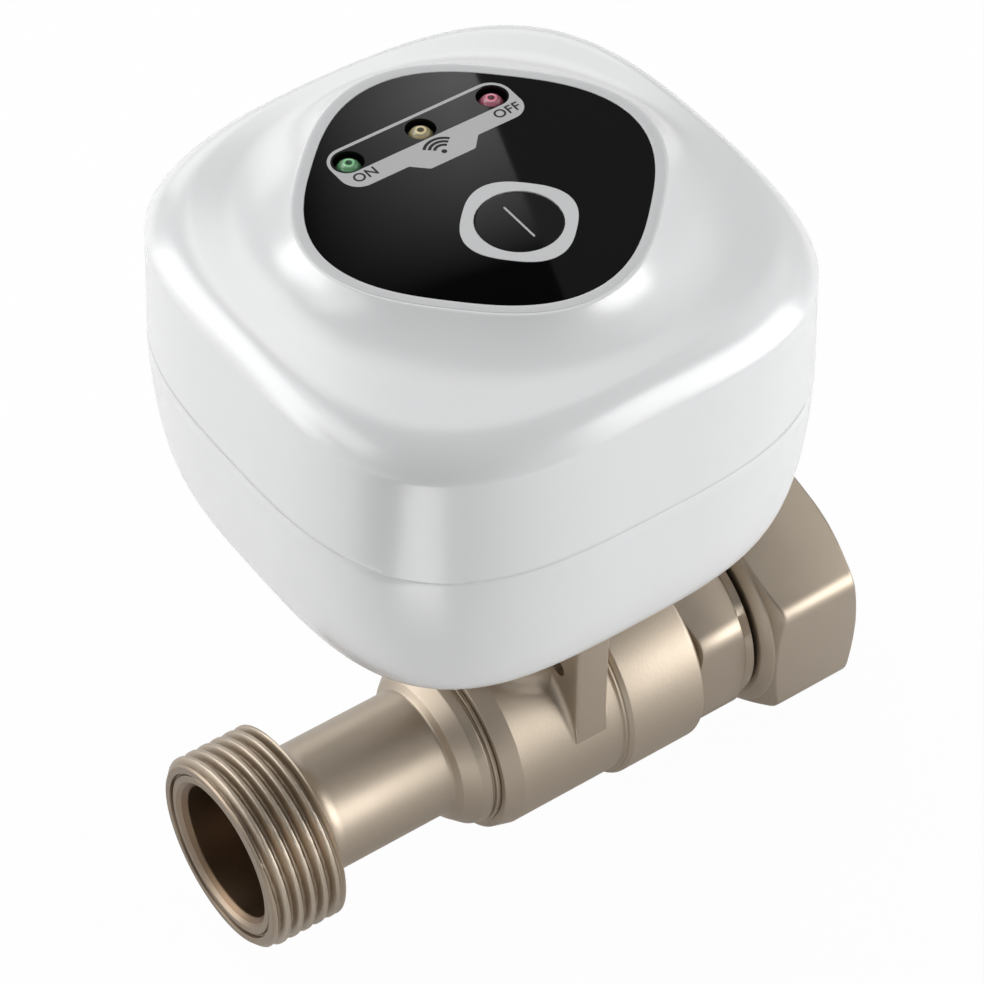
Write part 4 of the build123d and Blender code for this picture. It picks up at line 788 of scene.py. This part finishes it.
def cap_rows():
    """Rows of the cap from the seam up the wall, over the shoulder and up the cove.

    The wall leans from half width 43.56 to 42.5. Above the crease the radius at each angle goes
    from the crease's outline to the plateau's by the shoulder's inward share.
    """
    crease = squircle(42.5, 3.28)
    plateau = squircle(26.1, 2.7, pi / 4)
    wall = squircle(HALF, 3.1)
    room = squircle(23.0, 2.7, pi / 4)
    rows = [(0.0, 110.6), (room, 110.6), (room, 101.2), (squircle(39.9, 3.28), 101.2),
            (squircle(HALF - 2.4, 3.1), SEAM_Z),
            (squircle(HALF - 0.04, 3.1), SEAM_Z), (wall, SEAM_Z + 0.04)]
    for share in np.linspace(0.05, 1, 10):
        rows.append((wall + (crease - wall) * share, SEAM_Z + 0.1 + (CREASE_Z - SEAM_Z - 0.1) * share))
    for inward, upward in zip(*shoulder_shares()):
        rows.append((crease + (plateau - crease) * inward, CREASE_Z + (TOP_Z - CREASE_Z) * upward))
    recess = squircle(25.0, 2.7, pi / 4)
    return rows + [(plateau - 0.25, TOP_Z + 0.03), (recess, TOP_Z), (recess, TOP_Z - 2.3), (0.0, TOP_Z - 2.3)]


BUTTON_Y, LIGHTS_Y, LIGHT_STEP = -9.4, 14.8, 12.43
cap = cut(surface_mesh("cap", [(moulded(cap_rows()), False, True)]),
          [rod(110.0, 113.5, 7.28, "Z", (HOUSING_X, BUTTON_Y)),
           *(rod(110.0, 113.5, 2.38, "Z", (HOUSING_X + step * LIGHT_STEP, LIGHTS_Y)) for step in (-1, 0, 1))])
place("upper_housing_moulded", cap, white_plastic, "valve", "white_shell", ["upper_housing"], 50)

# Panel bezel
# The thin grey frame round the glass, a painted plastic ring with a softly rounded top, pressed
# into the cap's recess.

bezel_grey = finish("bezel_grey", (0.66, 0.665, 0.67), 0.33, 0.0, 0.02, 60.0, 0.05, 2200.0)


def bezel_rows():
    """Rows across the frame: outside, rounded top and inside, each a turned rounded square."""
    spans = [(25.9, 112.6), (25.9, 114.85), (25.7, 115.1), (25.3, 115.15), (24.6, 115.15), (24.3, 115.05),
             (24.2, 114.85), (24.2, 112.6)]
    return [(squircle(half, 2.7, pi / 4), height) for half, height in spans]


build("panel_bezel_frame", [(moulded(bezel_rows()), True, True)], bezel_grey, "valve", "panel_grey",
      ["panel_bezel"], 40)

# Panel glass
# A black back-printed glass, flat and polished with a fine arris, with three holes for the lights
# and one for the button.

panel_glass = finish("panel_glass", (0.003, 0.003, 0.0032), 0.02, 0.0, 0.05, 20.0, spread=0.004)
panel_glass.node_tree.nodes["Principled BSDF"].inputs["Specular IOR Level"].default_value = 0.3


def dress(node_name, material):
    """Gives a CAD node its finish."""
    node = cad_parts[node_name]
    node.data.materials.clear()
    node.data.materials.append(material)


dress("panel_glass", panel_glass)

# Printed marks
# The pale grey field round the lights, the ON and OFF words and the radio-wave sign, all screen
# printed on the glass, and the short line on the button.

print_grey = finish("print_grey", (0.52, 0.52, 0.525), 0.4, 0.0, 0.01, 60.0)
print_black = finish("print_black", (0.004, 0.004, 0.004), 0.5, 0.0, 0.05, 60.0)
GLASS_Z = 115.0


def printed(name, outlines, level, material, body="valve", thickness=0.012):
    """A flat print from closed outlines in panel millimetres; inner outlines leave holes."""
    curve = bpy.data.curves.new(name, "CURVE")
    curve.dimensions = "2D"
    curve.fill_mode = "BOTH"
    curve.extrude = thickness / 2 * MM
    for outline in outlines:
        spline = curve.splines.new("POLY")
        spline.points.add(len(outline) - 1)
        flat = np.zeros((len(outline), 4))
        flat[:, :2] = outline * MM
        flat[:, 3] = 1
        spline.points.foreach_set("co", flat.ravel())
        spline.use_cyclic_u = True
    return print_mesh(name, curve, (HOUSING_X, 0.0, level), material, body)


def print_mesh(name, curve, shift, material, body):
    """Turns a flat curve or text into a mesh, moves it to its place and makes it a piece."""
    holder = bpy.data.objects.new(name + "_curve", curve)
    link(holder)
    bpy.context.view_layer.update()
    mesh = bpy.data.meshes.new_from_object(holder.evaluated_get(bpy.context.evaluated_depsgraph_get()))
    bpy.data.objects.remove(holder)
    mesh.transform(Matrix.Translation(Vector(shift) * MM))
    mesh.name = name
    return place(name, mesh, material, body, "panel_grey", (), 30)


field = rounded([(-15.6, 17.95, 3.3), (-15.6, 9.0, 3.0), (-6.0, 9.0, 0.6), (-3.7, 6.85, 0.8),
                 (4.05, 6.85, 0.8), (6.0, 9.0, 0.6), (15.6, 9.0, 3.0), (15.6, 17.95, 3.3)], 14)
window = rounded([(-15.1, 17.4, 2.7), (-15.1, 12.45, 2.4), (15.1, 12.45, 2.4), (15.1, 17.4, 2.7)], 14)
printed("print_field", [field, window], GLASS_Z + 0.008, print_grey)


def band(inner, outer, start, end, centre, steps=24):
    """Outline of a ring sector between two radii and two angles."""
    sweep = np.linspace(start, end, steps)
    out = np.stack([outer * np.cos(sweep), outer * np.sin(sweep)], 1)
    back = np.stack([inner * np.cos(sweep[::-1]), inner * np.sin(sweep[::-1])], 1)
    return np.concatenate([out, back]) + np.array(centre)


root = (0.0, 8.85)
waves = [band(radius - 0.24, radius + 0.24, radians(40), radians(140), root) for radius in (1.4, 2.15, 2.9)]
dot = band(0.0, 0.42, 0, 2 * pi * 47 / 48, root, 48)[:48]
printed("print_waves", [*waves, dot], GLASS_Z + 0.02, print_black)


def word(name, text, centre, height):
    """A printed word in the plain built-in letters, a little heavier, centred on a panel point."""
    curve = bpy.data.curves.new(name, "FONT")
    curve.body = text
    curve.size = height / 0.7 * MM
    curve.align_x, curve.align_y = "CENTER", "CENTER"
    curve.space_character = 1.06
    curve.extrude = 0.006 * MM
    curve.offset = 0.016 * curve.size
    return print_mesh(name, curve, (HOUSING_X + centre[0], centre[1], GLASS_Z + 0.02), print_black, "valve")


word("print_on", "ON", (-12.05, 11.05), 1.7)
word("print_off", "OFF", (12.5, 10.95), 1.7)
line_mark = rounded([(-0.16, -5.7, 0.15), (-0.16, -13.1, 0.15), (0.16, -13.1, 0.15), (0.16, -5.7, 0.15)])
printed("print_line", [line_mark], GLASS_Z + 0.008, print_grey, "button")

# Lights
# Three round indicator lights, domed clear resin over a small reflector, tinted green, amber and
# red, and set a little below the glass in dark wells.


def lens(colour, centre_x):
    """Tinted resin, with rings of painted highlight and painted shade about the light's own axis, from its
    dark rim to its bright core.
    """
    material, principled, add = shader(f"lens_{colour[0]}_{centre_x:.0f}")
    links = material.node_tree.links
    where = add("ShaderNodeTexCoord")
    apart = add("ShaderNodeVectorMath", {"operation": "SUBTRACT"}, _0=where.outputs["Object"],
                _1=((HOUSING_X + centre_x) * MM, LIGHTS_Y * MM, 0.0))
    flat = add("ShaderNodeVectorMath", {"operation": "MULTIPLY"}, _0=apart.outputs[0], _1=(1, 1, 0))
    away = add("ShaderNodeVectorMath", {"operation": "LENGTH"}, _0=flat.outputs[0])
    share = add("ShaderNodeMapRange", _0=away.outputs["Value"], _1=0.0, _2=2.3 * MM, _3=0.0, _4=1.0)
    rings = add("ShaderNodeValToRGB", Fac=share.outputs[0])
    ramp = rings.color_ramp
    # Painted light: stops above one are a painted highlight ring, the low ones painted shade in the middle
    # and out to the rim.
    stops = [(0.0, 0.1), (0.18, 0.15), (0.3, 1.9), (0.42, 0.5), (0.6, 1.1), (0.8, 0.35), (1.0, 0.04)]
    while len(ramp.elements) < len(stops):
        ramp.elements.new(0.5)
    for element, (spot, level) in zip(ramp.elements, stops):
        element.position = spot
        element.color = (*(min(1.0, c * level) for c in colour), 1)
    links.new(rings.outputs[0], principled.inputs["Base Color"])
    principled.inputs["Roughness"].default_value = 0.12
    principled.inputs["Coat Weight"].default_value = 1.0
    principled.inputs["Coat Roughness"].default_value = 0.03
    return material


LIGHTS = {"light_on": (-LIGHT_STEP, (0.16, 0.42, 0.20), "light_green"),
          "light_link": (0.0, (0.52, 0.44, 0.24), "light_amber"),
          "light_off": (LIGHT_STEP, (0.55, 0.16, 0.22), "light_red")}
dome_line = rounded([(107.0, 0.0), (107.0, 2.7), (108.0, 2.7), (108.0, 2.28), (113.4, 2.28, 0.6),
                     (114.75, 1.2, 1.2), (114.9, 0.0)], 7, closed=False)
for node_name, (centre_x, colour, slot_name) in LIGHTS.items():
    dome = turned(dome_line, 64, "Z", (HOUSING_X + centre_x, LIGHTS_Y))
    build(node_name + "_lens", [(dome, False, True)], lens(colour, centre_x), "valve", slot_name, [node_name])

# Button
# A black gloss disc that clicks down onto its switch, in a pale grey surround let into the glass.

button_black = finish("button_black", (0.004, 0.004, 0.0042), 0.03, 0.0, 0.05, 20.0, spread=0.004)
button = turned(rounded([
    (110.5, 0.0), (110.5, 1.7), (111.4, 1.7), (111.4, 7.2, 0.2), (113.0, 7.2, 0.2), (113.0, 6.35),
    (115.0, 6.35, 0.12), (115.0, 6.1), (115.0, 0.0)], 5, closed=False), 128, "Z", (HOUSING_X, BUTTON_Y))
build("button_disc", [(button, False, True)], button_black, "button", "button_black", ["button"])
dress("button_ring", bezel_grey)

# Working parts inside
# Ball, seats, stem and seals in the valve; gears, motor, switches and board in the housing. They
# keep the shapes they have in the CAD and take the finishes of their real materials.

INNER = {
    "ball": finish("ball_chrome", (0.75, 0.75, 0.76), 0.08, 1.0, 0.02, 60.0),
    "seat_ring_inlet": finish("seat_white", (0.86, 0.86, 0.84), 0.5, 0.0, 0.03, 90.0, 0.2, 1500.0),
    "stem": finish("bare_brass", (0.68, 0.52, 0.26), 0.3, 1.0, 0.06, 60.0, 0.2, 500.0, (1.0, 1.0, 14.0)),
    "stem_ring_lower": finish("seal_rubber", (0.03, 0.03, 0.03), 0.65, 0.0, 0.2, 120.0, 0.3, 1500.0),
    "shaft_coupling": finish("brushed_steel", (0.55, 0.56, 0.58), 0.32, 1.0, 0.05, 60.0, 0.25, 500.0,
                             (1.0, 1.0, 14.0)),
    "output_gear": finish("gear_plastic", (0.80, 0.79, 0.73), 0.45, 0.0, 0.03, 60.0, 0.15, 1500.0),
    "limit_cam": finish("switch_black", (0.035, 0.035, 0.037), 0.45, 0.0, 0.15, 90.0, 0.3, 1600.0),
    "circuit_board": finish("board_green", (0.03, 0.17, 0.07), 0.35, 0.0, 0.2, 260.0, 0.3, 900.0),
    "motor": finish("motor_can", (0.60, 0.61, 0.63), 0.25, 1.0, 0.04, 60.0, 0.2, 600.0, (1.0, 1.0, 10.0)),
}
SAME_FINISH = {
    "seat_ring_inlet": ["seat_ring_outlet", "thrust_washer", "packing_ring"],
    "stem": ["gland_nut", "motor_pinion"],
    "stem_ring_lower": ["stem_ring_upper", "housing_seal"],
    "shaft_coupling": ["gear_plate_lower", "gear_plate_upper", "gear_axle", "power_socket",
                       *(f"plate_pillar_{number}" for number in (1, 2, 3, 4))],
    "output_gear": ["double_gear"],
    "limit_cam": ["tact_switch", "tact_plunger", "limit_switch_open", "limit_switch_closed"],
}
for first_name, material in INNER.items():
    for node_name in [first_name, *SAME_FINISH.get(first_name, [])]:
        dress(node_name, material)

# Board parts and wires
# What is soldered under the circuit board: a radio module in a tin can, a controller, capacitors,
# resistors and a wire socket. Plastic-covered copper wires go to the motor and the charging socket.

BOARD_UNDER_Z = 105.4


def chip(wide, deep, high, x, y):
    """A block that hangs under the board."""
    line = np.array([(-wide, -deep), (wide, -deep), (wide, deep), (-wide, deep)]) / 2
    return upright(line, BOARD_UNDER_Z - high, BOARD_UNDER_Z, (x, y))


def wire(points, radius=0.65, rows=60, around=12):
    """A round wire through some points, as a closed surface.

    The path is the points joined by straight lines and evened out three times by a running mean;
    rings stand square to it, and the first and last ring close to a point.
    """
    points = np.array(points, float)
    length = np.concatenate([[0], np.cumsum(np.linalg.norm(np.diff(points, axis=0), axis=1))])
    path = np.stack([np.interp(np.linspace(0, length[-1], rows), length, column) for column in points.T], 1)
    for _ in range(3):
        wide = np.concatenate([path[:1]] * 4 + [path] + [path[-1:]] * 4)
        path = np.stack([wide[shift:shift + rows] for shift in range(9)]).mean(0)
    path[0], path[-1] = points[0], points[-1]
    ahead = np.gradient(path, axis=0)
    ahead /= np.linalg.norm(ahead, axis=1)[:, None]
    side = np.cross(ahead, (0.8, 0.33, 0.5))
    side /= np.linalg.norm(side, axis=1)[:, None]
    other = np.cross(ahead, side)
    angle = np.linspace(0, 2 * pi, around, endpoint=False)[None, :, None]
    ring = radius * (np.cos(angle) * side[:, None] + np.sin(angle) * other[:, None])
    tube = np.concatenate([path[:1, None] + 0 * ring[:1], path[:, None] + ring,
                           path[-1:, None] + 0 * ring[-1:]])
    return tube, False, True


chips = [chip(7.0, 7.0, 0.9, 47.0, 5.0), chip(8.0, 4.4, 3.6, 54.5, -4.5),
         *(chip(1.6, 0.8, 0.5, 36.0 + 2.6 * step, 12.0) for step in range(6))]
capacitors = [rod(101.6, BOARD_UNDER_Z, 2.0, "Z", (x, -17.0), 40) for x in (41.0, 46.0)]
build("board_chips", chips + capacitors, INNER["limit_cam"], "valve", "switch_black", (), 30)
build("radio_can", [chip(12.0, 10.0, 2.2, 31.5, 1.5)], zinc_steel, "valve", "steel", (), 30)
red_cover = finish("red_cover", (0.45, 0.03, 0.03), 0.4)
motor_leads = {
    "wires_red": [(55.0, -5.4, 102.4), (48.5, -8.9, 101.7), (41.0, -12.9, 101.6), (36.8, -12.7, 101.6),
                  (36.8, -12.7, 100.45)],
    "wires_black": [(54.0, -3.6, 102.4), (47.5, -7.1, 101.7), (39.0, -10.6, 101.6), (31.5, -10.6, 101.6),
                    (29.8, -12.7, 101.6), (29.8, -12.7, 100.45)],
}
for name, cover, slot_name, x in (("wires_red", red_cover, "light_red", 43.85),
                                  ("wires_black", INNER["limit_cam"], "switch_black", 41.85)):
    socket_lead = [(x, 36.8, 73.0), (x, 33.6, 74.0), (x, 33.4, 92.0), (x, 31.5, 97.5), (x, 25.5, 99.6),
                   (x, 20.5, 101.8), (x, 19.5, 105.3)]
    build(name, [wire(motor_leads[name]), wire(socket_lead)], cover, "valve", slot_name, (), 40)
